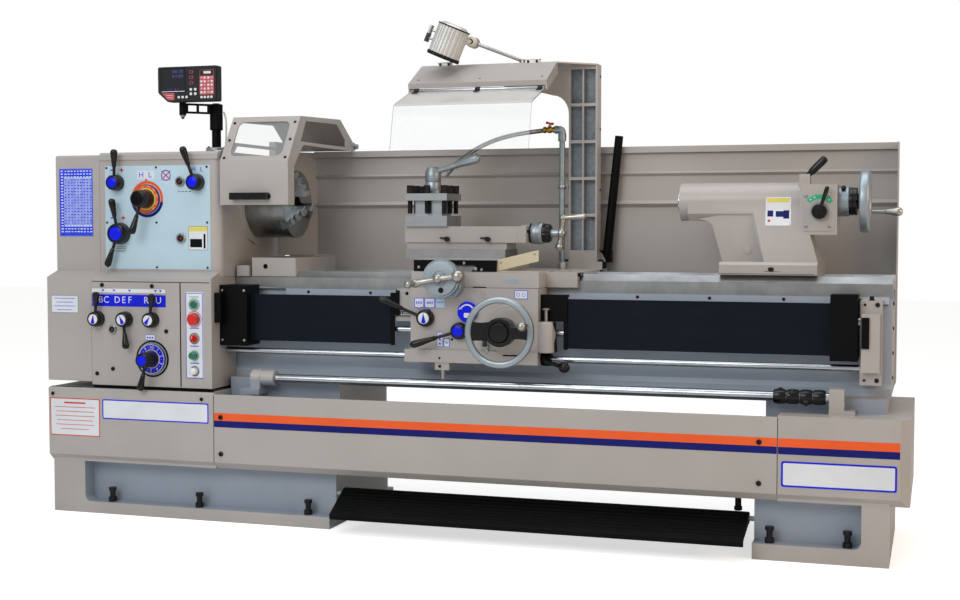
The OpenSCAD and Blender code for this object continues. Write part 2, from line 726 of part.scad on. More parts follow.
module feed_dial() color(black) {
  rod_y(dial_at.x, -gear_front - 12, -gear_front - slide_gap, dial_at.y, 106);
  lever(dial_at, gear_front, [-24, -104], 58, 78, 4);
}

// Push buttons and the selector on the switch plate.
module start_button() color("#1F7A4D") {
  rod_y(switch_x, -gear_front - 12, -gear_front - 6, switch_z[0], 24);
  rod_y(switch_x, -gear_front - 7, -gear_front + 12, switch_z[0], shaft_d);
}

module stop_button() color("#D8262C") {
  translate([switch_x, -gear_front - 10, switch_z[1]]) rotate([90, 0, 0]) cylinder(d1 = 42, d2 = 34, h = 16);
  rod_y(switch_x, -gear_front - 12, -gear_front + 12, switch_z[1], shaft_d);
}

module selector_switch() color("#C8242C") {
  rod_y(switch_x, -gear_front - 10, -gear_front - 2 - slide_gap, switch_z[2], 26);
  block(switch_x - 4, switch_x + 4, -gear_front - 24, -gear_front - 9, switch_z[2] - 12, switch_z[2] + 12);
  rod_y(switch_x, -gear_front - 4, -gear_front + 12, switch_z[2], shaft_d);
}

// Saddle that bridges the ways, with the guide of the cross slide.
module saddle() color(paint) {
  g = slide_gap;
  z = way_z + g;
  v = way_z + 8 + g + 0.2;
  side_y = bed_half + 0.5;
  difference() {
    union() {
      along_x(saddle_x, saddle_end) polygon([
        [-200, skirt_z], [-side_y, skirt_z], [-side_y, way_z - 11], [-bed_half + 4, way_z - 11],
        [-bed_half + 25, v], [-bed_half + 34, z], [bed_half - 89, z], [bed_half - 80, v],
        [bed_half - 71, z], [side_y, z], [side_y, way_z - 48], [bed_half + 40, way_z - 48],
        [bed_half + 85, way_z - 20], [bed_half + 85, saddle_top], [-200, saddle_top]]);
      block(apron_x, apron_x + apron_len, -apron_front + 10, -199, skirt_z, saddle_top);
      block(apron_x + 120, apron_x + apron_len, -62, 62, way_z - 30, way_z + 2);
      // bearing of the cross feed screw
      rod_y(cross_screw.x, -apron_front - 42, -apron_front + 12, cross_screw.y, 38);
    }
    rod_y(cross_screw.x, -apron_front - 43, -150, cross_screw.y, 24 + 2 * run);
  }
  // dovetail guide of the cross slide
  along_y(-240, 245) polygon([
    [cross_x + 92, saddle_top - 1], [cross_x + 208, saddle_top - 1], [cross_x + 208, saddle_top],
    [cross_x + 222, saddle_top + 20], [cross_x + 78, saddle_top + 20], [cross_x + 92, saddle_top]]);
}

// Hollow apron box with its lower lip, oil pump, curtain brackets and gear pins.
module apron() color(paint) {
  x1 = apron_x + apron_len;
  w = 14;
  y1 = -bed_half - 4;
  difference() {
    union() {
      block(apron_x, x1, -apron_front, y1, apron_bottom, skirt_z - 1);
      block(apron_x - 21, x1, -apron_front - 5, y1 - 20, apron_bottom - 42, apron_bottom + 1);
      // boss of the handwheel and the oil pump on the right side
      rod_y(wheel_at.x, -apron_front - 70, -apron_front + 1, wheel_at.y, 70);
      block(x1 - 1, x1 + 49, -apron_front + 2, -apron_front + 68, apron_bottom, apron_bottom + 102);
      block(apron_x - 71, apron_x + 1, -apron_front + 45, y1 - 12, apron_bottom + 93, apron_bottom + 205);
    }
    block(apron_x + w, x1 - w, -apron_front + w, y1 + 1, apron_bottom + 1, skirt_z - 15);
    block(apron_x - 57, apron_x - 1, -apron_front + 59, y1 - 11, apron_bottom + 107, apron_bottom + 191);
    rod_x(apron_x - 80, x1 + 60, rod_y0, lead_z, lead_d + 2 * pass);
    rod_x(apron_x - 80, x1 + 60, rod_y0, feed_z, feed_d + 2 * pass);
    rod_x(apron_x - 80, x1 + 60, control_y, control_z, control_d + pass);
    rod_y(wheel_at.x, -apron_front - 71, -apron_front + w + 1, wheel_at.y, 30 + 2 * run);
    shaft_holes([half_nut_at, feed_at, select_at], -apron_front - 1, -apron_front + w + 1);
    rod_z(x1 + 24, -apron_front + 16, apron_bottom + 60, apron_bottom + 103, 12 + 2 * run);
  }
  // finger that meets the dogs of the stop bar
  block(apron_x + 88, apron_x + 139, stop_y - 10, stop_y + 30, apron_bottom - 68, apron_bottom - 41);
  rod_z(apron_x + 114, stop_y, stop_z + stop_d / 2 + 2, apron_bottom - 60, 16);
  // end bars that pull the two screw covers
  color(black) {
    block(saddle_x - 75, saddle_x - 61, cover_y - 2, cover_y + 6, 636, 818);
    block(saddle_x - 64, saddle_x - 44, cover_y - 2, cover_y + 8, 740, 818);
    block(saddle_end - 31, saddle_end - 17, cover_y - 2, cover_y + 6, 636, 818);
    block(x1 - 1, saddle_end - 18, cover_y - 6, cover_y + 8, 731, 820);
  }
}

// Hand levers and the feed disc on the apron.
module half_nut_lever() color(black) lever(half_nut_at, apron_front, [-152, 62], 62, 26, 18);
module feed_lever() color(black) lever(feed_at, apron_front, [-150, -46], 60, 26, 18);

module feed_select_knob() color("#1230D8") {
  rod_y(select_at.x, -apron_front - 12, -apron_front - slide_gap, select_at.y, 70);
  rod_y(select_at.x, -apron_front - 1, -apron_front + 14, select_at.y, shaft_d);
}

// Handwheel that racks the carriage along the bed.
module carriage_handwheel() {
  x = wheel_at.x;
  z = wheel_at.y;
  r = wheel_d / 2 - 11;
  color(steel) {
    translate([x, wheel_y, z]) rotate([90, 0, 0]) rotate_extrude() translate([r, 0]) circle(d = 22);
    rod_y(x + r * 0.88, wheel_y - 60, wheel_y - 6, z + r * 0.24, 14);
    translate([x + r * 0.88, wheel_y - 62, z + r * 0.24]) sphere(d = 32);
  }
  color(black) {
    rod_y(x, wheel_y - 8, -apron_front - 70 - slide_gap, z, 96);
    rod_y(x, wheel_y - 14, wheel_y - 7, z, 66);
    along_y(wheel_y - 6, wheel_y + 8) polygon([
      [x - r, z - 30], [x - 36, z - 24], [x + 36, z - 16], [x + r, z - 22],
      [x + r, z + 18], [x + 36, z + 26], [x - 36, z + 30], [x - r, z + 34]]);
  }
  color(steel) rod_y(x, wheel_y, -apron_front + 12, z, 30);
}

// Spring plunger of the oil pump.
module oil_pump_plunger() color(steel) {
  x = apron_x + apron_len + 24;
  y = -apron_front + 16;
  rod_z(x, y, apron_bottom + 66, apron_bottom + 142, 12);
  rod_z(x, y, apron_bottom + 142, apron_bottom + 150, 26);
}

// Cross slide with its wiper plate.
module cross_slide() color(paint) {
  z = saddle_top;
  difference() {
    block(cross_x, cross_x + cross_w, -245, 150, cross_z, cross_top);
    along_y(-246, 151) polygon([
      [cross_x + 92.2, z - 1], [cross_x + 207.8, z - 1], [cross_x + 223, z + 20.7], [cross_x + 77, z + 20.7]]);
    rod_z(swivel_at.x, swivel_at.y, cross_top - 14, cross_top + 1, 90 + 2 * run);
  }
  color(black) difference() {
    block(cross_x, cross_x + cross_w, -252, -244, cross_z, cross_top - 3);
    along_y(-253, -243) polygon([
      [cross_x + 91, z - 1], [cross_x + 209, z - 1], [cross_x + 225, z + 22], [cross_x + 75, z + 22]]);
  }
}

// Ball crank with its graduated dial on the cross feed screw.
module cross_feed_crank() color(steel) {
  x = cross_screw.x;
  z = cross_screw.y;
  y = -apron_front - 42 - slide_gap;
  rod_y(x, y - 32, y, z, 130);
  rod_y(x, y - 44, y - 31, z, 44);
  rod_y(x, y, -185, z, 24);
  translate([x, y - 50, z]) sphere(d = 34);
  bar([x, y - 50, z], [x + 66, y - 50, z + 9], 15, 20);
  translate([x + 70, y - 50, z + 9]) sphere(d = 46);
  bar([x, y - 50, z], [x - 80, y - 52, z - 16], 15, 17);
  bar([x - 78, y - 46, z - 16], [x - 96, y - 96, z - 20], 18, 24);
}

// Graduated base that swivels on the cross slide and carries the compound ways.
module compound_base() color(paint) {
  block(base_x, base_x + base_len, swivel_at.y - 75, swivel_at.y + 75, cross_top, base_top);
  rod_z(swivel_at.x, swivel_at.y, cross_top - 13, cross_top + 1, 90);
  along_x(base_x, base_x + base_len) translate([swivel_at.y, base_top]) polygon([
    [-58, -1], [58, -1], [58, 22.7], [30, 22.7], [40, 39], [-40, 39], [-30, 22.7], [-58, 22.7]]);
}

// Compound slide with the stud of the tool post.
module compound_slide() color(paint) {
  y = swivel_at.y;
  difference() {
    union() {
      block(compound_x, compound_x + compound_len, y - 65, y + 65, slide_z, slide_top);
      rod_x(compound_x + compound_len - 1, compound_x + compound_len + 30, y, crank_z, 58);
    }
    along_x(compound_x - 1, base_x + base_len + 62) translate([y, slide_z]) polygon([
      [-29.8, -1], [29.8, -1], [41, 16.6], [-41, 16.6]]);
    rod_x(base_x + base_len + 20, compound_x + compound_len + 31, y, crank_z, 20 + 2 * run);
  }
  color(steel) rod_z(post_at.x, post_at.y, slide_top - 1, block_z + 142, 30);
  color(black) for (x = [compound_x + 160, compound_x + 310]) {
    rod_y(x, y - 80, y - 64, slide_z + 12, 18);
    rod_x(x - 26, x, y - 74, slide_z + 16, 6);
  }
}

// Ball crank and dial of the compound slide.
module compound_crank() color(steel) {
  x = compound_x + compound_len + 30 + slide_gap;
  y = swivel_at.y;
  z = crank_z;
  rod_x(x, x + 74, y, z, 77);
  rod_x(base_x + base_len + 30, x + 1, y, z, 20);
  rod_x(x + 73, x + 100, y, z, 28);
  translate([x + 110, y, z]) sphere(d = 34);
  bar([x + 110, y, z], [x + 103, y, z - 44], 14, 18);
  translate([x + 103, y, z - 48]) sphere(d = 30);
  bar([x + 110, y, z], [x + 117, y, z + 52], 14, 16);
  bar([x + 112, y, z + 54], [x + 198, y, z + 58], 17, 24);
}

// Four-way tool post: two square plates, a core and the clamp bolts.
module tool_post() color(steel) {
  x = post_at.x;
  y = post_at.y;
  h = post_w / 2;
  difference() {
    union() {
      block(x - h, x + h, y - h, y + h, slide_top, block_z);
      block(x - 50, x + 50, y - 50, y + 50, block_z - 1, block_z + 55);
      block(x - h, x + h, y - h, y + h, block_z + 54, block_z + 79);
    }
    rod_z(x, y, slide_top - 1, block_z + 80, 30 + 2 * run);
  }
  color(black) for (i = [-1 : 1], j = [-1 : 1]) if (i != 0 || j != 0) {
    rod_z(x + i * (h - 15), y + j * (h - 15), block_z + 8, block_z + 54 - slide_gap, 16);
    rod_z(x + i * (h - 15), y + j * (h - 15), block_z + 79 + slide_gap, block_z + 108, 24);
  }
}

// Clamp nut of the tool post with its handle.
module tool_post_lever() color(steel) {
  x = post_at.x;
  y = post_at.y;
  z = block_z + 79;
  difference() {
    union() {
      rod_z(x, y, z + slide_gap, z + 16, 66);
      rod_z(x, y, z + 15, z + 78, 57);
      translate([x, y, z + 78]) cylinder(d1 = 57, d2 = 44, h = 16);
    }
    rod_z(x, y, z, z + 64, 30 + 2 * run);
  }
  bar([x + 20, y - 1, z + 80], [x + 96, y - 10, z + 103], 19, 23);
  bar([x + 94, y - 10, z + 102], [x + 180, y - 20, z + 127], 30, 35);
}

// Column and arm over the carriage, with the hood sheet, the lamp rod and the cable arm.
module shield_frame() color(paint) {
  x0 = column_at.x;
  x1 = x0 + 106;
  y0 = column_at.y;
  y1 = y0 + 60;
  t = 5;
  web_z = hood_z - 5;
  difference() {
    block(x0, x1, y0, y1, saddle_top + 25, web_z);
    for (i = [0, 1], j = [0 : 4])
      block(x0 + 7 + i * 49, x0 + 50 + i * 49, y0 - 1, y0 + 32, 960 + j * 133, 1082 + j * 133);
  }
  block(x0 - 22, x1 + 20, y0, y1 + 8, saddle_top, saddle_top + 26);
  // tapering web under the arm, with its round inner corner
  along_y(y0, y0 + t) polygon(concat(
    [[x0 + 1, web_z], [x0 - 470, web_z], [x0 - 323, web_z - 51], [x0 - 90, web_z - 96]],
    [for (a = [0 : 15 : 90]) [x0 - 60 + 60 * sin(a), web_z - 104 - 70 * (1 - cos(a))]],
    [[x0 + 1, web_z - 174]]));
  // top plate
  along_z(hood_z - t, hood_z) polygon([
    [hood_x, 75], [hood_x + hood_len, 75], [x1, y0 - 5], [x1, y1], [x0 - 60, y1], [hood_x, 130]]);
  block(x1 - t, x1, y0 - 5, y1, hood_z - 26, hood_z - 1);
  // hood sheet with its lower lip
  along_x(hood_x, hood_x + hood_len) bent_sheet([
    [76, hood_z - 4], hood_edge, [hood_edge.x + 3, hood_edge.y - 15]], -4);
  // hood end gussets with the hinge rod of the window
  for (x = [hood_x, hood_x + hood_len - 4]) along_x(x, x + 4) polygon([
    [80, hood_z - 2], hood_edge, [window_pin.x - 6, window_pin.y - 7], [window_pin.x + 6, window_pin.y - 7],
    [90, hood_z - 40]]);
  rod_x(hood_x + 2, hood_x + hood_len - 2, window_pin.x, window_pin.y, 6);
  color(steel) {
    for (x = [hood_x + 88, hood_x + 420]) {
      block(x - 26, x + 26, 74, 88, hood_z - 1, hood_z + 9);
    }
    // lamp rod with its foot and knuckle
    rod_z(hood_x + 378, 104, hood_z - 1, hood_z + 14, 30);
    bar([hood_x + 378, 104, hood_z + 8], [lamp_at.x + 14, lamp_at.y + 12, lamp_at.z - 5], 13);
    difference() {
      rod_y(lamp_at.x, lamp_at.y, lamp_at.y + 26, lamp_at.z, 40);
      rod_y(lamp_at.x, lamp_at.y - 1, lamp_at.y + 18, lamp_at.z, 16 + 2 * run);
    }
  }
  // black cable arm on the back of the saddle
  color(black) bar([x1 + 22, y1 + 10, saddle_top + 50], [x1 + 64, y1 + 16, 1376], 34, 30);
  color(black) block(x1 - 6, x1 + 40, y1 + 1, y1 + 26, saddle_top + 22, saddle_top + 66);
}

// Clear bent pane that hangs from the hood on a hinge rod.
module shield_window() color("#DCE6E8") {
  pin = window_pin;
  difference() {
    union() {
      along_x(hood_x + 6, hood_x + hood_len - 8)
        bent_sheet([[pin.x - 3, pin.y - 4], [pin.x - 168, pin.y - 62], [pin.x - 208, pin.y - 222]], 4);
      rod_x(hood_x + 6, hood_x + hood_len - 8, pin.x, pin.y, 14);
    }
    rod_x(hood_x + 5, hood_x + hood_len - 7, pin.x, pin.y, 6 + 2 * run);
  }
}

// Ribbed lamp with its lens and bail.
module lamp_head() {
  axis = unit([46, 0, 108]);
  back_end = [lamp_at.x - 48, lamp_at.y - 62, lamp_at.z + 46];
  front_end = back_end - 104 * axis;
  color("#E8E8E2") {
    bar(front_end, back_end, 116);
    bar(back_end - 1 * axis, back_end + 10 * axis, 104, 84);
    rod_y(lamp_at.x, lamp_at.y - 24, lamp_at.y - slide_gap, lamp_at.z, 38);
    rod_y(lamp_at.x, lamp_at.y - 1, lamp_at.y + 17, lamp_at.z, 16);
    bar([lamp_at.x, lamp_at.y - 12, lamp_at.z], [lamp_at.x - 40, lamp_at.y - 42, lamp_at.z - 4], 20);
  }
  color(black) bar(front_end - 12 * axis, front_end + 1 * axis, 122);
}

// Coolant pipe with elbow, tap and curved hose.
module coolant_pipe() {
  x = pipe_at.x;
  y = pipe_at.y;
  top_z = 1397;
  function hose(i) = let (u = i / 12)
    [x - 70 - 340 * u, y - 18 * u, top_z - 2 - 35 * u - 92 * u * u * u];
  color(steel) {
    rod_z(x, y, saddle_top, top_z - 4, 21);
    rod_z(x, y, top_z - 42, top_z - 14, 30);
    rod_z(x, y, saddle_top, saddle_top + 24, 34);
    translate([x, y, top_z]) sphere(d = 32);
    rod_x(x - 26, x, y, top_z, 30);
    block(x - 3, column_at.x, y - 7, column_at.y + 12, 1180, 1200);
  }
  color("#B98A3A") {
    rod_x(x - 70, x - 26, y, top_z, 24);
    rod_z(x - 46, y, top_z, top_z + 22, 12);
  }
  color("#B92A22") bar([x - 44, y, top_z + 24], [x - 66, y, top_z + 31], 8, 10);
  // hose in short straight lengths along a curve that drops towards the tool post
  color("#8C9294") {
    for (i = [0 : 11]) bar(hose(i), hose(i + 1), 16);
    for (i = [1 : 11]) translate(hose(i)) sphere(d = 17);
    bar(hose(12), hose(12) + [-36, 0, -44], 13, 12);
  }
}

// Tailstock casting on its base, with the quill bore, screw housing and clamp plate.
module tailstock() color(paint) {
  x = tail_x;
  top = spindle_z + barrel_d / 2;
  difference() {
    union() {
      rod_x(x, x + 404, 0, spindle_z, barrel_d);
      along_x(x + 30, x + 404) polygon([
        [-barrel_d / 2, spindle_z], [-barrel_d / 2, spindle_z - 40], [-40, spindle_z - 64],
        [40, spindle_z - 64], [barrel_d / 2, spindle_z - 40], [barrel_d / 2, spindle_z]]);
      along_y(-58, 58) polygon(concat(
        [for (a = [0 : 15 : 90]) [x + 60 + 55 * sin(a), spindle_z - 88 + 30 * cos(a)]],
        [[x + 148, way_z + 50], [x + 462, way_z + 50], [x + 403, spindle_z - 108], [x + 403, spindle_z]]));
      hull() {
        block(x + 240, x + 403, -58, 58, spindle_z - 60, spindle_z);
        block(x + 290, x + 462, -100, 100, way_z + 50, way_z + 54);
      }
      block(x + 403, x + 521, -80, 80, spindle_z - 110, top - 9);
      along_x(x + 152, x + 467) polygon([
        [-168, way_z + 12], [-138, way_z + 12], [-138, way_z + slide_gap], [bed_half - 89, way_z + slide_gap],
        [bed_half - 80, way_z + 8.5], [bed_half - 71, way_z + slide_gap], [168, way_z + slide_gap],
        [168, way_z + 44], [158, way_z + 53], [-158, way_z + 53], [-168, way_z + 44]]);
      block(x + 152, x + 467, -169, -140, way_z + 11.5, way_z + 44);
      // clamp bolt and plate under the ways
      rod_z(x + 290, 0, way_z - 60, way_z + 2, 30);
      block(x + 240, x + 340, -100, 100, way_z - 76, way_z - 49);
    }
    rod_x(x - 1, x + 396, 0, spindle_z, quill_d + 2 * run);
    rod_x(x + 395, x + 522, 0, spindle_z, 30 + 2 * run);
    rod_y(x + 466, -81, -60, spindle_z - 34, shaft_d + 2 * run);
  }
  // ears and pin of the clamp lever
  for (y = [-45, -2]) block(x + 396, x + 430, y, y + 17, top - 14, top + 26);
  color(steel) rod_y(x + 413, -46, 16, top + 14, 14);
  // screws that set the casting over on its base
  color(black) rod_y(x + 318, -172, -160, way_z + 30, 14);
}

// Quill with its taper socket.
module quill() color(steel) difference() {
  rod_x(tail_x - 8, tail_x + 380, 0, spindle_z, quill_d);
  translate([tail_x - 9, 0, spindle_z]) rotate([0, 90, 0]) cylinder(d1 = 44, d2 = 34, h = 130);
  rod_x(tail_x + 120, tail_x + 381, 0, spindle_z, 32);
}

// Handwheel, dial and screw of the tailstock.
module tailstock_wheel() color(steel) {
  x = tail_x + 521 + slide_gap;
  r = tail_wheel_d / 2 - 12;
  rod_x(tail_x + 330, x + 1, 0, spindle_z, 30);
  rod_x(x, x + 34, 0, spindle_z, 99);
  color(black) rod_x(x + 33, x + 60, 0, spindle_z, 92);
  rod_x(x + 59, x + 96, 0, spindle_z, 46);
  translate([x + 85, 0, spindle_z]) rotate([0, 90, 0]) rotate_extrude() translate([r, 0]) circle(d = 24);
  for (a = [0 : 120 : 240]) translate([0, 0, spindle_z]) rotate([a - 30, 0, 0])
    block(x + 74, x + 86, -14, 14, 0, r);
  translate([0, 0, spindle_z]) rotate([-113, 0, 0]) translate([0, 0, r - 4]) rotate([0, 90, 0]) {
    translate([0, 0, x + 88]) cylinder(d = 12, h = 60);
    translate([0, 0, x + 146]) cylinder(d1 = 17, d2 = 30, h = 40);
    translate([0, 0, x + 186]) cylinder(d1 = 30, d2 = 16, h = 16);
  }
}

module quill_lock_lever() color(black) {
  at = [tail_x + 466, spindle_z - 34];
  rod_y(at.x, -110, -80 - slide_gap, at.y, 50);
  rod_y(at.x, -116, -109, at.y, 30);
  bar([at.x + 4, -98, at.y + 15], [at.x + 26, -108, at.y + 80], 12, 14);
  rod_y(at.x, -81, -61, at.y, shaft_d);
}

module tailstock_clamp_lever() color(black) {
  at = [tail_x + 413, spindle_z + barrel_d / 2 + 14];
  difference() {
    rod_y(at.x, -28 + slide_gap, -2 - slide_gap, at.y, 26);
    rod_y(at.x, -29, -1, at.y, 14 + 2 * run);
  }
  bar([at.x + 8, -15, at.y + 8], [at.x + 66, -15, at.y + 66], 18, 30);
}

// Rods in front of the bed.
module lead_screw() color(steel) rod_x(-14, bed_end - 44, rod_y0, lead_z, lead_d);
module feed_rod() color(steel) rod_x(-14, bed_end - 44, rod_y0, feed_z, feed_d);
module control_rod() color(steel) rod_x(-14, bed_end - 44, control_y, control_z, control_d);

// Lever on the right of the apron that turns the control rod.
module control_lever() color(black) {
  x = apron_x + apron_len + slide_gap;
  difference() {
    union() {
      rod_x(x, x + 34, control_y, control_z, 46);
      bar([x + 18, control_y - 16, control_z - 6], [x + 76, control_y - 36, control_z - 20], 18, 14);
    }
    rod_x(x - 1, x + 35, control_y, control_z, control_d + 2 * run);
  }
  translate([x + 80, control_y - 38, control_z - 21]) sphere(d = 36);
}

// Indexing bar with four dogs that stops the carriage.
module stop_bar() {
  x0 = bed_end - 356;
  color(steel) rod_x(128, bed_end - 137, stop_y, stop_z, stop_d);
  color(black) for (i = [0 : 3])
    translate([x0 + i * 41, stop_y, stop_z]) rotate([90 * i - 40, 0, 0]) {
      rotate([0, 90, 0]) cylinder(d = 46, h = 39);
      block(2, 37, -12, 12, 10, 31);
    }
}

// Foot brake treadle along the front, between the stands.
module brake_treadle() color(black) {
  x0 = body_right + 32;
  x1 = right_body - 17;
  difference() {
    union() {
      along_x(x0, x1) bent_sheet([[-440, 52], [-440, 66], [-426, 74], [-322, 132], [-304, 132]], 6);
      for (x = [x0, x1 - 10]) along_x(x, x + 10) polygon([
        [-420, 74], [-318, 132], [-284, 132], [-284, 98], [-320, 96]]);
    }
    for (x = [x0 - 1, x1 - 11]) rod_x(x, x + 12, ground_pins.x, ground_pins.y, shaft_d + 2 * run);
  }
}

// Position readout on its lattice arm, turning on the post.
module readout() color(black) {
  post = readout_at;
  face = -190;
  difference() {
    rod_z(post.x, post.y, post_top - 60, post_top + 36, 48);
    rod_z(post.x, post.y, post_top - 61, post_top + 1, 34 + 2 * run);
  }
  // lattice arm towards the left and the front
  translate([post.x, post.y, 0]) rotate([0, 0, 43]) difference() {
    block(-125, -18, -8, 8, post_top - 1, post_top + 36);
    for (x = [-106, -66]) block(x, x + 32, -9, 9, post_top + 7, post_top + 28);
  }
  rod_z(post.x - 92, post.y - 86, post_top - 16, post_top + 58, 26);
  bar([post.x - 92, post.y - 86, post_top + 50], [post.x - 92, face + 30, post_top + 60], 20);
  along_y(face, face + 36) polygon([
    [-306, 1632], [-306, 1538], [-265, 1503], [-62, 1503], [-62, 1632]]);
}

// Moves the lathe so that the middle of its outline on the floor is the origin.
module place() translate([-mid_x, -mid_y, 0]) children();

place() headstock_stand();
place() tailstock_stand();
place() chip_tray();
place() bed();
place() headstock();
place() feed_gearbox();
place() splash_guard();
place() rod_bracket();
place() left_screw_cover();
place() right_screw_cover();
place() levelling_screws();
place() motor_drive();
place() spindle();
place() chuck();
place() jaw(0);  // chuck_jaw_1
place() jaw(1);  // chuck_jaw_2
place() jaw(2);  // chuck_jaw_3
place() chuck_guard();
place() gear_cover();
place() direction_lever();
place() range_lever();
place() high_low_lever();
place() speed_dial();
place() feed_knob_left();
place() feed_knob_middle();
place() feed_knob_right();
place() feed_dial();
place() start_button();
place() stop_button();
place() selector_switch();
place() saddle();
place() apron();
place() carriage_handwheel();
place() half_nut_lever();
place() feed_lever();
place() feed_select_knob();
place() oil_pump_plunger();
place() cross_slide();
place() cross_feed_crank();
place() compound_base();
place() compound_slide();
place() compound_crank();
place() tool_post();
place() tool_post_lever();
place() shield_frame();
place() shield_window();
place() lamp_head();
place() coolant_pipe();
place() tailstock();
place() quill();
place() tailstock_wheel();
place() quill_lock_lever();
place() tailstock_clamp_lever();
place() lead_screw();
place() feed_rod();
place() control_rod();
place() control_lever();
place() stop_bar();
place() brake_treadle();
place() readout();
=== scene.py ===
import json
import math
import bpy
import bmesh
import numpy as np
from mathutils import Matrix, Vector


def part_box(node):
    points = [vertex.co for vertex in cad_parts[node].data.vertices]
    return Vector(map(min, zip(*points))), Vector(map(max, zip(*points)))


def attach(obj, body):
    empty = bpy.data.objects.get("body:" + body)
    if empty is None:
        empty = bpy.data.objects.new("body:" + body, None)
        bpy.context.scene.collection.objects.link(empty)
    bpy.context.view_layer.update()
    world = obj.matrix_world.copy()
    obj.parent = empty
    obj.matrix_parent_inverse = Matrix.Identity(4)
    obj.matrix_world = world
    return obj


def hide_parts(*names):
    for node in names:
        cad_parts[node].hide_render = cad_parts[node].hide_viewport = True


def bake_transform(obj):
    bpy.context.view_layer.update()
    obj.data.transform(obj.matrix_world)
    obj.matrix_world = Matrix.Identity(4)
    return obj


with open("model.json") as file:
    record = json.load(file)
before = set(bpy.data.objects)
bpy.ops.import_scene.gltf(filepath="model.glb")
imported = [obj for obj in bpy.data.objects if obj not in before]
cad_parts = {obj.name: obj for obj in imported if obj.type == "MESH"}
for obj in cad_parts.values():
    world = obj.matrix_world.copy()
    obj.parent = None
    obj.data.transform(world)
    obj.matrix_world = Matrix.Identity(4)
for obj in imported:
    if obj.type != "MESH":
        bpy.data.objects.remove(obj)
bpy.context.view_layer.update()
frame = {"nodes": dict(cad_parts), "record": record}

scene = bpy.context.scene
scene.view_settings.view_transform = "Standard"

# Places below are in millimetres from the headstock's right face, the spindle axis and the floor:
# the gearbox starts 489 mm to the left of that face, the chip tray 385 mm in front of the axis.
datum = {"gearboxLeft": 0.489, "trayFront": 0.385}
millimetreOrigin = np.array([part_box("feed_gearbox")[0].x + datum["gearboxLeft"],
                             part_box("chip_tray")[0].y + datum["trayFront"], 0.0])
tau = 2 * math.pi
toFront, toBack, toRight, toLeft, toTop = (0, -1, 0), (0, 1, 0), (1, 0, 0), (-1, 0, 0), (0, 0, 1)


def inFrame(points):
    # millimetres of the machine to metres of the frame
    return millimetreOrigin + np.asarray(points, float) / 1000


def inMachine(points):
    # metres of the frame to millimetres of the machine
    return (np.asarray(points, float) - millimetreOrigin) * 1000


def addObject(name, data):
    piece = bpy.data.objects.new(name, data)
    scene.collection.objects.link(piece)
    return piece


# materials

def linearColour(hexCode, alpha=1.0):
    # sRGB hex to linear: c / 12.92 below 0.04045, else ((c + 0.055) / 1.055) ^ 2.4
    c = np.array([int(hexCode[i:i + 2], 16) for i in (1, 3, 5)]) / 255
    c = np.where(c <= 0.04045, c / 12.92, ((c + 0.055) / 1.055) ** 2.4)
    return (*c.tolist(), alpha)


def setInputs(node, inputs):
    # plain values on a node's own sockets
    for key, value in inputs.items():
        node.inputs[key].default_value = value


def addNode(tree, kind, settings=None, inputs=None, links=None):
    # one node with its settings, its socket values and the links into it
    node = tree.nodes.new(kind)
    for key, value in (settings or {}).items():
        setattr(node, key, value)
    setInputs(node, inputs or {})
    for key, source in (links or {}).items():
        tree.links.new(source, node.inputs[key])
    return node


def newMaterial(name):
    # a material, its tree, its main shader and the object's own coordinates
    material = bpy.data.materials.new(name)
    material.use_nodes = True
    tree = material.node_tree
    return material, tree, tree.nodes["Principled BSDF"], addNode(tree, "ShaderNodeTexCoord").outputs["Object"]


def mixColours(tree, amount, first, second):
    # from one hex colour to another as the amount goes from 0 to 1
    mix = addNode(tree, "ShaderNodeMix", {"data_type": "RGBA"}, links={0: amount})
    mix.inputs[6].default_value = linearColour(first)
    mix.inputs[7].default_value = linearColour(second)
    return mix.outputs[2]


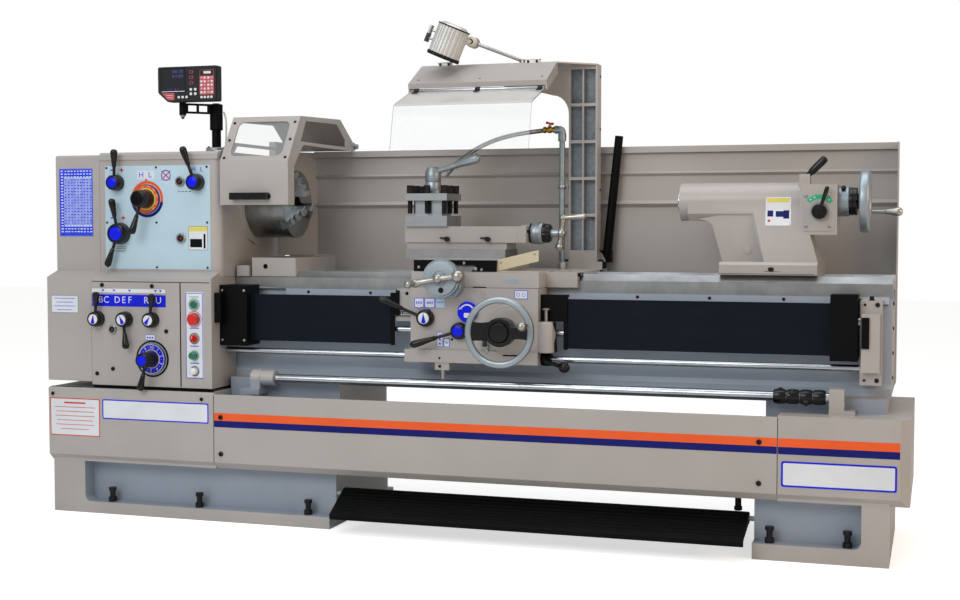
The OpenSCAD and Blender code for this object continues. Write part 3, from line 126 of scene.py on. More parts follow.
# Each finish: the common name of the real one, or of the painted shade that it also carries, two hex colours that its
# surface drifts between, the size in millimetres of that drift, of its fine grain and the depth of the grain,
# roughness from and to, metal, coat, and how far the grain is drawn out along X, Y and Z.
finishes = {
    # two-pack machine enamel sprayed on filled cast iron: soft orange peel, satin
    "enamelOnCastIron": dict(colours=("#B3AFAA", "#AAA6A2"), drift=260, grain=9, depth=0.10, rough=(0.38, 0.48),
        coat=0.25),
    # the same enamel on folded sheet: flatter, a little glossier
    "enamelOnSheet": dict(colours=("#B5B0AB", "#ACA8A3"), drift=420, grain=14, depth=0.05, rough=(0.34, 0.42),
        coat=0.3),
    # darker hammered grey inside the hood's column
    "hammeredGrey": dict(colours=("#949CA2", "#80888E"), drift=14, grain=5, depth=0.25, rough=(0.40, 0.52), coat=0.1),
    # cooler grey enamel: painted shade in the stands' recesses and the chip tray's back; also the plain grey of the
    # motor, plug rings and small fittings
    "greyEnamel": dict(colours=("#9CA6B3", "#929CA9"), drift=300, grain=10, depth=0.10, rough=(0.40, 0.50), coat=0.2),
    # painted shade: a lighter, cooler copy of that grey on the bed's front faces below the ways
    "bedEnamel": dict(colours=("#B2BECC", "#A7B3C1"), drift=300, grain=10, depth=0.10, rough=(0.40, 0.50), coat=0.2),
    # cream enamel of the sheet guard over the screw cover
    "creamEnamel": dict(colours=("#CFC5A6", "#C6BB9B"), drift=200, grain=9, depth=0.06, rough=(0.36, 0.46), coat=0.25),
    # slideway steel, ground lengthwise: long fine scratches, bright
    "groundWaySteel": dict(colours=("#A6A7A6", "#919393"), drift=90, grain=3, depth=0.05, rough=(0.40, 0.54), metal=1.0,
        draw=(0.02, 1, 1)),
    # shafting drawn and centreless ground: even bright bar
    "groundShaft": dict(colours=("#C6CBCF", "#AEB4B9"), drift=160, grain=2.5, depth=0.03, rough=(0.16, 0.26), metal=1.0,
        draw=(6, 1, 1)),
    # steel turned on a lathe: faint rings from the tool
    "turnedSteel": dict(colours=("#BFC4C6", "#A9AEB1"), drift=60, grain=2.2, depth=0.08, rough=(0.24, 0.36), metal=1.0,
        draw=(5, 1, 1)),
    # oiled chuck steel, darker from handling
    "oiledSteel": dict(colours=("#9A9C9B", "#7F8282"), drift=50, grain=2.4, depth=0.06, rough=(0.26, 0.38), metal=1.0,
        draw=(4, 1, 1)),
    # blackened steel of jaws, bolts and screws
    "blackenedSteel": dict(colours=("#2A2B2D", "#1D1E20"), drift=40, grain=3, depth=0.05, rough=(0.34, 0.46),
        metal=0.7),
    # bright turned aluminium of dials and handwheel rims
    "turnedAluminium": dict(colours=("#ADB8BE", "#9BA7AD"), drift=80, grain=2.5, depth=0.05, rough=(0.38, 0.48),
        metal=0.85),
    # hard chrome on cranks and handles
    "satinChrome": dict(colours=("#BDBBB4", "#A8A69F"), drift=40, grain=5, depth=0.03, rough=(0.28, 0.40), metal=1.0),
    # black phenolic of lever hubs and grips, pressed in polished moulds; also a dark disc of painted shade for a hole
    # in the cross slide crank's drum
    "phenolic": dict(colours=("#0D0D0F", "#08080A"), drift=50, grain=5, depth=0.03, rough=(0.20, 0.30), coat=0.1,
        shine=0.35),
    # black crackle paint of boxes, brackets and the treadle; also black discs of painted shade in two holes on the
    # apron
    "blackEnamel": dict(colours=("#0A0B0D", "#070809"), drift=120, grain=4, depth=0.12, rough=(0.44, 0.56), shine=0.1),
    # coloured ABS caps of levers and buttons
    "blueAbs": dict(colours=("#0518F4", "#0415DC"), drift=40, grain=4, depth=0.02, rough=(0.26, 0.34), shine=0.25),
    "whiteAbs": dict(colours=("#E7E9EA", "#DDE0E2"), drift=40, grain=4, depth=0.02, rough=(0.26, 0.34), coat=0.2),
    "redAbs": dict(colours=("#DE2418", "#C51A12"), drift=30, grain=4, depth=0.02, rough=(0.2, 0.28), coat=0.3),
    "greenAbs": dict(colours=("#0E7A55", "#0A6646"), drift=30, grain=4, depth=0.02, rough=(0.22, 0.3), coat=0.3),
    # printed aluminium plates: a matt ink under clear lacquer
    "paleBluePrint": dict(colours=("#C2DCE9", "#B8D3E0"), drift=220, grain=3, depth=0.01, rough=(0.30, 0.38), coat=0.2),
    "whitePrint": dict(colours=("#E6EBEF", "#DCE2E7"), drift=120, grain=3, depth=0.01, rough=(0.34, 0.42)),
    "bluePrint": dict(colours=("#0F20EA", "#0B1AD2"), drift=120, grain=3, depth=0.01, rough=(0.32, 0.40), shine=0.25),
    "chartBlue": dict(colours=("#2E49EE", "#253EE0"), drift=30, grain=3, depth=0.01, rough=(0.34, 0.42), shine=0.3),
    "chartField": dict(colours=("#B3C2F2", "#A6B6EE"), drift=30, grain=3, depth=0.01, rough=(0.34, 0.42), shine=0.3),
    "orangePrint": dict(colours=("#F5662C", "#EE5D25"), drift=200, grain=3, depth=0.01, rough=(0.34, 0.42), shine=0.3),
    "navyPrint": dict(colours=("#101A74", "#0C1466"), drift=200, grain=3, depth=0.01, rough=(0.34, 0.42), shine=0.2),
    "redPrint": dict(colours=("#D8402F", "#CF3728"), drift=60, grain=3, depth=0.01, rough=(0.36, 0.44)),
    "yellowPrint": dict(colours=("#E5D96A", "#DCCF5C"), drift=60, grain=3, depth=0.01, rough=(0.36, 0.44)),
    "tealPrint": dict(colours=("#3FA98A", "#36A07F"), drift=60, grain=3, depth=0.01, rough=(0.36, 0.44)),
    "arcGreen": dict(colours=("#35B98C", "#2BAE80"), drift=60, grain=3, depth=0.01, rough=(0.34, 0.42)),
    # the readout's case, screen, figures and soft keys
    "mouldedCase": dict(colours=("#26262A", "#1E1E22"), drift=60, grain=2, depth=0.06, rough=(0.46, 0.56), shine=0.3),
    "screenGlass": dict(colours=("#10131E", "#0C0F18"), drift=60, grain=3, depth=0.0, rough=(0.08, 0.12), coat=0.6),
    "screenDigits": dict(colours=("#5A5FB4", "#4E53A4"), drift=20, grain=2, depth=0.0, rough=(0.3, 0.4)),
    "blushKey": dict(colours=("#E59AA0", "#DC8B92"), drift=20, grain=2, depth=0.02, rough=(0.40, 0.48)),
    "roseKey": dict(colours=("#C65A63", "#BC4F59"), drift=20, grain=2, depth=0.02, rough=(0.40, 0.48)),
    # brass tap and oil nipples, and the lamp can's pale metallic enamel
    "brass": dict(colours=("#C29A4A", "#AC863C"), drift=20, grain=3, depth=0.04, rough=(0.22, 0.32), metal=1.0),
    "lampWhite": dict(colours=("#D9D9D4", "#CCCCC7"), drift=60, grain=6, depth=0.05, rough=(0.26, 0.34), metal=0.35),
    # off-white moulding of the lamp's knuckle
    "creamPlastic": dict(colours=("#DEDCCB", "#D2D0BF"), drift=60, grain=5, depth=0.03, rough=(0.36, 0.46), coat=0.1),
    # zinc-coated pipe, dull and slightly blue
    "galvanisedPipe": dict(colours=("#A9B7BC", "#94A3A9"), drift=25, grain=4, depth=0.05, rough=(0.34, 0.46),
        metal=0.9),
    # rolled bright hose
    "corrugatedSteel": dict(colours=("#A3A9AB", "#8C9295"), drift=20, grain=3, depth=0.05, rough=(0.26, 0.36),
        metal=1.0),
}


def makeFinish(name, colours, drift, grain, depth, rough, metal=0.0, coat=0.0, draw=(1, 1, 1), shine=0.5):
    # broad noise drifts the colour, fine noise moves the roughness and lifts the surface
    material, tree, shader, place = newMaterial(name)
    drawn = addNode(tree, "ShaderNodeMapping", inputs={"Scale": draw}, links={"Vector": place})
    broad = addNode(tree, "ShaderNodeTexNoise", inputs={"Scale": 1000 / drift, "Detail": 3.0, "Roughness": 0.55},
                    links={"Vector": place})
    fine = addNode(tree, "ShaderNodeTexNoise", inputs={"Scale": 1000 / grain, "Detail": 2.0, "Roughness": 0.6},
                   links={"Vector": drawn.outputs["Vector"]})
    spread = addNode(tree, "ShaderNodeMapRange", inputs={"From Min": 0.32, "From Max": 0.68},
                     links={"Value": broad.outputs["Fac"]})
    colour = mixColours(tree, spread.outputs["Result"], *colours)
    both = addNode(tree, "ShaderNodeMath", {"operation": "ADD"},
                   links={0: broad.outputs["Fac"], 1: fine.outputs["Fac"]})
    roughRange = {"From Min": 0.7, "From Max": 1.3, "To Min": rough[0], "To Max": rough[1]}
    sheen = addNode(tree, "ShaderNodeMapRange", inputs=roughRange, links={"Value": both.outputs["Value"]})
    tree.links.new(colour, shader.inputs["Base Color"])
    tree.links.new(sheen.outputs["Result"], shader.inputs["Roughness"])
    if depth:
        bump = addNode(tree, "ShaderNodeBump", inputs={"Strength": 0.5, "Distance": depth / 1000},
                       links={"Height": fine.outputs["Fac"]})
        tree.links.new(bump.outputs["Normal"], shader.inputs["Normal"])
    setInputs(shader, {"Metallic": metal, "Coat Weight": coat, "Coat Roughness": 0.2, "Specular IOR Level": shine})
    material.diffuse_color = linearColour(colours[0])
    return material


looks = {name: makeFinish(name, **recipe) for name, recipe in finishes.items()}


def makeCurtainCloth():
    # rubber-coated roller cloth: near black with a faint haze, its weave shows through as a fine relief
    material, tree, shader, place = newMaterial("coatedRollerCloth")
    warp, weft = (addNode(tree, "ShaderNodeTexWave", {"bands_direction": way}, {"Scale": 200.0, "Distortion": 0.3},
                          {"Vector": place}) for way in "XZ")
    weave = addNode(tree, "ShaderNodeMath", {"operation": "MULTIPLY"},
                    links={0: warp.outputs["Fac"], 1: weft.outputs["Fac"]})
    haze = addNode(tree, "ShaderNodeTexNoise", inputs={"Scale": 5.0, "Detail": 2.0}, links={"Vector": place})
    colour = mixColours(tree, haze.outputs["Fac"], "#080F18", "#0E1824")
    bump = addNode(tree, "ShaderNodeBump", inputs={"Strength": 0.25, "Distance": 0.0003},
                   links={"Height": weave.outputs["Value"]})
    tree.links.new(colour, shader.inputs["Base Color"])
    tree.links.new(bump.outputs["Normal"], shader.inputs["Normal"])
    setInputs(shader, {"Roughness": 0.5, "Specular IOR Level": 0.12})
    return material


def makeClearSheet(name, tint, alpha):
    # cast acrylic, polished: clear with a faint grey tint and few scratches, drawn as a thin see-through film
    material, tree, shader, place = newMaterial(name)
    haze = addNode(tree, "ShaderNodeTexNoise", inputs={"Scale": 9.0, "Detail": 3.0}, links={"Vector": place})
    rough = addNode(tree, "ShaderNodeMapRange", inputs={"To Min": 0.03, "To Max": 0.10},
                    links={"Value": haze.outputs["Fac"]})
    tree.links.new(rough.outputs["Result"], shader.inputs["Roughness"])
    setInputs(shader, {"Base Color": linearColour(tint), "IOR": 1.49, "Alpha": alpha})
    return material


looks["curtainCloth"] = makeCurtainCloth()
looks["clearAcrylic"] = makeClearSheet("clearAcrylic", "#DDE3E4", 0.16)
# painted reflection: a pale, nearly opaque copy of the clear sheet for the pane's flatter upper slope, where light from
# above reflects
looks["smokedAcrylic"] = makeClearSheet("smokedAcrylic", "#CFCDC7", 0.62)
looks["acrylicEdge"] = makeClearSheet("acrylicEdge", "#6E7B82", 0.85)
print("finishes made:", len(looks))


# surfaces

def newPart():
    return {"points": [], "faces": [], "looks": [], "count": 0}


def collect(part, points, faces, look):
    # faces whose numbers are already counted on from the points collected so far
    part["points"].append(points)
    part["faces"] += faces
    part["looks"] += [look] * len(faces)
    part["count"] += len(points)


def addGrid(part, grid, look, closeRows=False, closeCols=False, capStart=False, capEnd=False):
    # quads between neighbouring rows and columns of an (n, m, 3) grid; a cap is one face over the first or last row
    n, m = grid.shape[:2]
    row, col = np.meshgrid(np.arange(n if closeRows else n - 1), np.arange(m if closeCols else m - 1), indexing="ij")
    nextRow, nextCol = (row + 1) % n, (col + 1) % m
    quads = np.stack([row * m + col, row * m + nextCol, nextRow * m + nextCol, nextRow * m + col], -1).reshape(-1, 4)
    faces = (quads + part["count"]).tolist()
    if capStart:
        faces.append((part["count"] + np.arange(m)[::-1]).tolist())
    if capEnd:
        faces.append((part["count"] + (n - 1) * m + np.arange(m)).tolist())
    collect(part, grid.reshape(-1, 3), faces, look)


def crossFrame(axis):
    # two unit directions square to an axis
    axis = np.asarray(axis, float) / np.linalg.norm(axis)
    helper = np.array([0.0, 0.0, 1.0]) if abs(axis[2]) < 0.9 else np.array([1.0, 0.0, 0.0])
    u = np.cross(axis, helper)
    u /= np.linalg.norm(u)
    return axis, u, np.cross(axis, u)


def addTurned(part, start, axis, profile, look, sides=40):
    # a profile of (distance along the axis, radius) swept through a full turn: start + a * s + r * (u cos t + v sin t)
    axis, u, v = crossFrame(axis)
    s, r = np.array(profile, float).T
    t = np.linspace(0, tau, sides, endpoint=False)
    ring = np.cos(t)[:, None] * u + np.sin(t)[:, None] * v
    grid = np.asarray(start, float) + s[:, None, None] * axis + np.maximum(r, 0.01)[:, None, None] * ring
    addGrid(part, grid, look, closeCols=True, capStart=True, capEnd=True)


def smoothPath(points, steps=8):
    # Catmull-Rom curve through the points
    p = np.asarray(points, float)
    p = np.vstack([2 * p[0] - p[1], p, 2 * p[-1] - p[-2]])
    t = np.linspace(0, 1, steps, endpoint=False)[:, None, None]
    a, b, c, d = p[:-3], p[1:-2], p[2:-1], p[3:]
    curve = 0.5 * (2 * b + (c - a) * t + (2 * a - 5 * b + 4 * c - d) * t ** 2 + (3 * b - a - 3 * c + d) * t ** 3)
    return np.vstack([curve.transpose(1, 0, 2).reshape(-1, p.shape[1]), p[-2]])


def addTube(part, path, radii, look, sides=16, upright=(0.3, 0.9, 0.2), flat=1.0):
    # a round section carried along a path: path + r * (u cos t + v sin t), u and v square to the path's direction
    path = np.asarray(path, float)
    radii = np.broadcast_to(np.asarray(radii, float), (len(path),))
    along = np.gradient(path, axis=0)
    along /= np.linalg.norm(along, axis=1)[:, None]
    u = np.cross(along, np.asarray(upright, float))
    u /= np.linalg.norm(u, axis=1)[:, None]
    v = np.cross(along, u)
    t = np.linspace(0, tau, sides, endpoint=False)
    ring = np.cos(t)[:, None] * u[:, None] + flat * np.sin(t)[:, None] * v[:, None]
    grid = path[:, None] + radii[:, None, None] * ring
    addGrid(part, grid, look, closeCols=True, capStart=True, capEnd=True)


def addPlate(part, outline, axis, low, high, look):
    # an outline in the two other directions carried along X, Y or Z from low to high
    outline = np.asarray(outline, float)
    order = {"x": (1, 2), "y": (0, 2), "z": (0, 1)}[axis]
    grid = np.zeros((2, len(outline), 3))
    grid[:, :, order[0]] = outline[:, 0]
    grid[:, :, order[1]] = outline[:, 1]
    grid[:, :, "xyz".index(axis)] = np.array([low, high])[:, None]
    addGrid(part, grid, look, closeCols=True, capStart=True, capEnd=True)


def roundRect(x0, x1, z0, z1, r, steps=5):
    # a rectangle's outline with its corners turned at radius r
    a = np.linspace(0, tau / 4, steps)
    centres = [(x1 - r, z1 - r), (x0 + r, z1 - r), (x0 + r, z0 + r), (x1 - r, z0 + r)]
    return np.vstack([np.stack([cx + r * np.cos(a + q * tau / 4), cz + r * np.sin(a + q * tau / 4)], -1)
                      for q, (cx, cz) in enumerate(centres)])


def rect(x0, x1, z0, z1):
    return np.array([(x0, z0), (x1, z0), (x1, z1), (x0, z1)], float)


def addBlock(part, x0, x1, y0, y1, z0, z1, look):
    addPlate(part, rect(x0, x1, y0, y1), "z", z0, z1, look)


def addScrew(part, place, axis, size, h):
    # socket-head screw: a chamfered head of diameter size and height h with a sunk round socket
    r = size / 2
    profile = [(-0.5, r), (h * 0.8, r), (h, r * 0.86), (h, r * 0.52), (h * 0.45, r * 0.48), (h * 0.45, 0)]
    addTurned(part, place, axis, profile, "blackenedSteel", 16)


def shadeByAngle(mesh, degrees=34):
    mesh.shade_smooth()
    mesh.set_sharp_from_angle(angle=math.radians(degrees))


def roundEdges(piece, bevel, segments, degrees):
    # edges sharper than the angle rounded by a bevel in millimetres, flat faces shaded flat
    edge = piece.modifiers.new("Rounded", "BEVEL")
    edge.width = bevel / 1000
    edge.segments = segments
    edge.limit_method = "ANGLE"
    edge.angle_limit = math.radians(degrees)
    piece.modifiers.new("Even", "WEIGHTED_NORMAL").keep_sharp = True


def finishPart(part, name, body, bevel=0.0, segments=2, replaces=(), smooth=34):
    # the collected surfaces as one object in the frame, merged, turned outwards and rounded
    mesh = bpy.data.meshes.new(name)
    mesh.from_pydata(inFrame(np.vstack(part["points"])).tolist(), [], part["faces"])
    names = sorted(set(part["looks"]))
    for look in names:
        mesh.materials.append(looks[look])
    mesh.polygons.foreach_set("material_index", [names.index(look) for look in part["looks"]])
    work = bmesh.new()
    work.from_mesh(mesh)
    bmesh.ops.remove_doubles(work, verts=work.verts, dist=2e-5)
    bmesh.ops.recalc_face_normals(work, faces=work.faces)
    work.to_mesh(mesh)
    work.free()
    shadeByAngle(mesh, smooth)
    piece = addObject(name, mesh)
    if bevel:
        roundEdges(piece, bevel, segments, 38)
    if body:
        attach(piece, body)
    if replaces:
        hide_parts(*replaces)
    return piece


def dressNode(node, look, bevel, areas=()):
    # the CAD node's own shape, merged, its edges rounded, with other finishes where a test on face places says so
    mesh = frame["nodes"][node].data.copy()
    mesh.name = node + "Dressed"
    mesh.materials.clear()
    for name in [look] + [area[1] for area in areas]:
        mesh.materials.append(looks[name])
    work = bmesh.new()
    work.from_mesh(mesh)
    bmesh.ops.remove_doubles(work, verts=work.verts, dist=1e-5)
    bmesh.ops.dissolve_limit(work, angle_limit=math.radians(0.6), verts=work.verts, edges=work.edges)
    bmesh.ops.triangulate(work, faces=[f for f in work.faces if len(f.verts) > 4])
    work.to_mesh(mesh)
    work.free()
    count = len(mesh.polygons)
    centres, normals = np.zeros(count * 3), np.zeros(count * 3)
    mesh.polygons.foreach_get("center", centres)
    mesh.polygons.foreach_get("normal", normals)
    p, n = inMachine(centres.reshape(-1, 3)).T, normals.reshape(-1, 3).T
    index = np.zeros(count, int)
    for i, (test, _) in enumerate(areas):
        index[test(p, n)] = i + 1
    mesh.polygons.foreach_set("material_index", index)
    shadeByAngle(mesh, 32)
    piece = addObject(mesh.name, mesh)
    roundEdges(piece, bevel, 2, 34)
    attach(piece, next(b for b, members in frame["record"]["behaviour"]["bodies"].items() if node in members))
    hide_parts(node)


# camera, light and floor

# place in metres, degrees round to the right of square-on, degrees down, focal length and sensor in millimetres
view = {"place": (1.598, -4.789, 1.052), "round": 17.8, "down": 3.0, "lens": 53.66, "sensor": 36, "farthest": 60}
camera = addObject("Camera", bpy.data.cameras.new("Camera"))
camera.location = view["place"]
camera.rotation_euler = (math.radians(90 - view["down"]), 0, math.radians(view["round"]))
camera.data.lens = view["lens"]
camera.data.sensor_width = view["sensor"]
camera.data.clip_end = view["farthest"]
scene.camera = camera

# strength of the sky's light and of the paper's own glow; the softboxes in metres and watts
studio = {"sky": 0.40, "paper": 0.62}
softboxes = {
    "FrontSoftbox": dict(place=(-1.2, -4.6, 3.4), target=(0, 0, 0.8), size=(3.2, 2.2), power=96.0, colour="#FBFCFF"),
    "RightSoftbox": dict(place=(4.2, -1.6, 2.4), target=(0.4, 0, 0.9), size=(1.8, 2.2), power=42.0, colour="#FFCFA0"),
    "TopSoftbox": dict(place=(0.3, -0.4, 4.4), target=(0, 0, 0.6), size=(4.6, 2.4), power=70.0, colour="#F2F7FF"),
}


def addSoftbox(name, place, target, size, power, colour):
    lamp = bpy.data.lights.new(name, "AREA")
    lamp.shape = "RECTANGLE"
    lamp.size, lamp.size_y = size
    lamp.energy = power
    lamp.color = linearColour(colour)[:3]
    box = addObject(name, lamp)
    box.location = place
    box.rotation_euler = (Vector(target) - Vector(place)).to_track_quat("-Z", "Y").to_euler()


for name, recipe in softboxes.items():
    addSoftbox(name, **recipe)


def seenStraight(tree):
    # 1 on what the camera sees, straight or through the clear sheets, 0 on light that falls on the machine
    ray = addNode(tree, "ShaderNodeLightPath")
    kinds = {0: ray.outputs["Is Camera Ray"], 1: ray.outputs["Is Transmission Ray"]}
    return addNode(tree, "ShaderNodeMath", {"operation": "MAXIMUM"}, links=kinds).outputs["Value"]


world = bpy.data.worlds.new("Studio")
scene.world = world
world.use_nodes = True
sky = world.node_tree
background = sky.nodes["Background"]
amount = addNode(sky, "ShaderNodeMapRange", inputs={"To Min": studio["sky"], "To Max": 1.0},
                 links={"Value": seenStraight(sky)})
sky.links.new(amount.outputs["Result"], background.inputs["Strength"])
background.inputs["Color"].default_value = linearColour("#FFFFFF")


def makeFloorPaper():
    # white studio paper: shows near white, and still takes the machine's shadow
    material, tree, paper, place = newMaterial("studioPaper")
    setInputs(paper, {"Base Color": linearColour("#EDEDEB"), "Roughness": 0.9, "Specular IOR Level": 0.1})
    fibre = addNode(tree, "ShaderNodeTexNoise", inputs={"Scale": 500.0, "Detail": 2.0}, links={"Vector": place})
    bump = addNode(tree, "ShaderNodeBump", inputs={"Strength": 0.1, "Distance": 0.0002},
                   links={"Height": fibre.outputs["Fac"]})
    tree.links.new(bump.outputs["Normal"], paper.inputs["Normal"])
    glow = addNode(tree, "ShaderNodeEmission", inputs={"Color": (1, 1, 1, 1), "Strength": studio["paper"]})
    shown = addNode(tree, "ShaderNodeMath", {"operation": "MULTIPLY"}, {1: studio["paper"]}, {0: seenStraight(tree)})
    tree.links.new(shown.outputs["Value"], glow.inputs["Strength"])
    both = addNode(tree, "ShaderNodeAddShader", links={0: paper.outputs["BSDF"], 1: glow.outputs["Emission"]})
    tree.links.new(both.outputs["Shader"], tree.nodes["Material Output"].inputs["Surface"])
    return material


floorMesh = bpy.data.meshes.new("Floor")
floorMesh.from_pydata([(-14, -8, 0), (14, -8, 0), (14, 16, 0), (-14, 16, 0)], [], [(0, 1, 2, 3)])
floorMesh.materials.append(makeFloorPaper())
floor = addObject("Floor", floorMesh)
print("camera, light and floor placed")


# castings and sheet metal

casting = {"edge": 3.0, "sheetEdge": 1.2}


def faceTest(x=(-9e3, 9e3), y=(-9e3, 9e3), z=(-9e3, 9e3), facing=None):
    # a test for dressNode: face centres inside the ranges, and facing along an axis such as "+z"
    def test(p, n):
        hit = np.ones(p.shape[1], bool)
        for i, (low, high) in enumerate((x, y, z)):
            hit &= (p[i] > low) & (p[i] < high)
        if facing:
            hit &= n["xyz".index(facing[1])] * (1 if facing[0] == "+" else -1) > 0.7
        return hit
    return test


def roundTest(axis, at, radius, low=-9e3, high=9e3):
    # a test for dressNode: face centres within a radius of a line along an axis
    others = [i for i in range(3) if i != "xyz".index(axis)]

    def test(p, n):
        off = np.hypot(p[others[0]] - at[0], p[others[1]] - at[1])
        return (off < radius) & (p["xyz".index(axis)] > low) & (p["xyz".index(axis)] < high)
    return test


edge, sheetEdge = casting["edge"], casting["sheetEdge"]
bedEnd = inMachine(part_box("bed")[1])[0]
# painted shade: the toe recesses at the stands' feet and the stands' parts under the chip tray take the cooler grey
dressNode("headstock_stand", "enamelOnCastIron", edge, [
    (faceTest(y=(-369, -305), z=(0, 192)), "greyEnamel"),
    (faceTest(x=(20, 440), z=(192, 504)), "greyEnamel"),
])
dressNode("tailstock_stand", "enamelOnCastIron", edge, [
    (faceTest(y=(-369, -305), z=(0, 192)), "greyEnamel"),
    (faceTest(x=(1925, 2330), y=(-300, -240), z=(200, 504)), "greyEnamel"),
])
# painted shade: the tray's faces behind its front rim take the cooler grey
dressNode("chip_tray", "enamelOnSheet", sheetEdge, [(faceTest(y=(-360, 9e3)), "greyEnamel")])
dressNode("bed", "enamelOnCastIron", 2.0, [
    (faceTest(x=(238, 9e3), z=(864, 890), facing="+z"), "groundWaySteel"),
    (roundTest("y", (120, 902), 10), "blackenedSteel"),
    (faceTest(x=(67, 239), z=(866, 940), facing="+z"), "groundWaySteel"),
    (faceTest(x=(199, 9e3), y=(-176, -159), z=(799, 824)), "groundShaft"),
    # painted shade: the bed's front faces below the ways, picked by their facing, take a cool copy of the enamel
    (faceTest(z=(0, 822), facing="-y"), "bedEnamel"),
    (faceTest(x=(238, 9e3), y=(-200, -150), z=(824, 890)), "groundWaySteel"),
])
dressNode("headstock", "enamelOnCastIron", 4.0, [
    (roundTest("z", (-135, -60), 40, low=1318), "blackEnamel"),
    (lambda p, n: (p[0] > -7.5) & (np.hypot(p[1] - 300, p[2] - 1356) < 10.6), "groundShaft"),
])
dressNode("feed_gearbox", "enamelOnCastIron", 4.0, [
    (lambda p, n: (p[0] > -0.9) & (p[2] > 620), "blackEnamel"),
    (faceTest(x=(-103, -32), y=(-362.5, -360.2), z=(500, 820)), "whitePrint"),
    (roundTest("y", (-68, 589), 14, high=-360.5), "greenAbs"),
    (roundTest("y", (-68, 533), 14, high=-360.5), "whiteAbs"),
])
dressNode("splash_guard", "enamelOnSheet", sheetEdge)
dressNode("rod_bracket", "enamelOnCastIron", edge, [
    (lambda p, n: (p[0] < bedEnd - 94.5), "blackEnamel"),
    (faceTest(y=(-297, -290.2)), "blackEnamel"),
])
dressNode("levelling_screws", "blackenedSteel", 1.2)
dressNode("motor_drive", "greyEnamel", 2.0, [
    (lambda p, n: (p[0] < -514.9) & (p[0] > -555.1) & (np.hypot(p[1] - 90, p[2] - 960) > 126), "blackEnamel"),
    (faceTest(x=(-610, -500.5)), "turnedSteel"),
])
dressNode("gear_cover", "enamelOnSheet", edge)
dressNode("spindle", "turnedSteel", 1.5)
dressNode("saddle", "enamelOnCastIron", edge, [(faceTest(z=(893.5, 914)), "groundWaySteel")])
dressNode("apron", "enamelOnCastIron", edge, [
    (lambda p, n: (p[1] > -269) & (p[1] < -253) & (p[2] > 635) & ((p[0] < 672) | (p[0] > 1180.5)), "blackEnamel"),
    (faceTest(x=(825, 858), y=(-302, -258), z=(520, 572)), "satinChrome"),
])
dressNode("cross_slide", "enamelOnCastIron", 2.0, [(faceTest(y=(-253, -245.1)), "blackEnamel")])
dressNode("compound_base", "enamelOnCastIron", 2.0, [(faceTest(z=(0, 968.4)), "groundWaySteel")])
dressNode("compound_slide", "enamelOnCastIron", edge, [
    (faceTest(y=(-121, -105.2), z=(985, 1025)), "blackenedSteel"),
    (roundTest("z", (718, -40), 15.5, low=1048.5), "turnedSteel"),
])
dressNode("tool_post", "turnedSteel", 2.2, [
    (lambda p, n: p[2] > 1164.6, "blackenedSteel"),
    (lambda p, n: (p[2] > 1085.6) & (p[2] < 1139.4) & ((abs(p[0] - 718) > 50.5) | (abs(p[1] + 40) > 50.5)),
     "blackenedSteel"),
])
dressNode("quill", "groundShaft", 1.2)
dressNode("feed_rod", "groundShaft", 0.8)
dressNode("control_rod", "groundShaft", 0.8)
dressNode("shield_frame", "enamelOnSheet", 1.6, [
    (faceTest(x=(1160, 1262), y=(191, 224), z=(950, 1622)), "hammeredGrey"),
    (lambda p, n: (p[0] > 1266) & (p[2] > 931.5) | (p[0] > 1284.5) | (p[0] > 1252) & (p[1] > 258.5) & (p[2] < 985),
     "blackEnamel"),
    (faceTest(z=(1632.2, 2000)), "satinChrome"),
])
dressNode("tailstock", "enamelOnCastIron", 4.0, [
    (lambda p, n: (p[0] < 1607.6), "turnedSteel"),
    (faceTest(y=(-176, -169.2)), "blackenedSteel"),
])
dressNode("brake_treadle", "blackEnamel", 2.0)
dressNode("chuck", "oiledSteel", 1.8, [(faceTest(x=(0, 44.9)), "turnedSteel")])
for i in (1, 2, 3):
    dressNode(f"chuck_jaw_{i}", "turnedSteel", 1.2)
print("castings dressed")


# printed plates, colour fields and screws

# how far a print reaches into the face under it, how far a framed field stands over its frame, half a letter's depth
ink = {"sunk": 0.05, "over": 0.25, "letter": 0.15}


def addText(part, text, centre, size, look, turn=0.0):
    # letters of the built-in font, centred, made a mesh 0.3 mm thick and read from the front
    curve = bpy.data.curves.new("Letters", "FONT")
    curve.body = text
    curve.size = size
    curve.align_x = "CENTER"
    curve.align_y = "CENTER"
    curve.resolution_u = 3
    curve.extrude = ink["letter"]
    carrier = addObject("Letters", curve)
    mesh = bpy.data.meshes.new_from_object(carrier.evaluated_get(bpy.context.evaluated_depsgraph_get()))
    flat = np.zeros(len(mesh.vertices) * 3)
    mesh.vertices.foreach_get("co", flat)
    x, z, d = flat.reshape(-1, 3).T
    x, z = x * math.cos(turn) - z * math.sin(turn), x * math.sin(turn) + z * math.cos(turn)
    faces = [[v + part["count"] for v in polygon.vertices] for polygon in mesh.polygons]
    collect(part, np.stack((x, -d, z), -1) + np.asarray(centre, float), faces, look)
    bpy.data.objects.remove(carrier)
    bpy.data.meshes.remove(mesh)


def addLabel(part, x0, x1, z0, z1, face, look, border=None, width=1.6, lift=0.8, radius=2.0):
    # a thin printed plate on a face towards the front, with a printed frame line if it has a border
    addPlate(part, roundRect(x0, x1, z0, z1, radius), "y", face - lift, face + ink["sunk"], border or look)
    if border:
        inner = roundRect(x0 + width, x1 - width, z0 + width, z1 - width, max(radius - width / 2, 0.4))
        addPlate(part, inner, "y", face - (lift + ink["over"]), face, look)


def addRule(part, x0, x1, z, thick, face, look, lift=0.3):
    # one printed line or bar
    addBlock(part, x0, x1, face - lift, face + ink["sunk"], z - thick / 2, z + thick / 2, look)


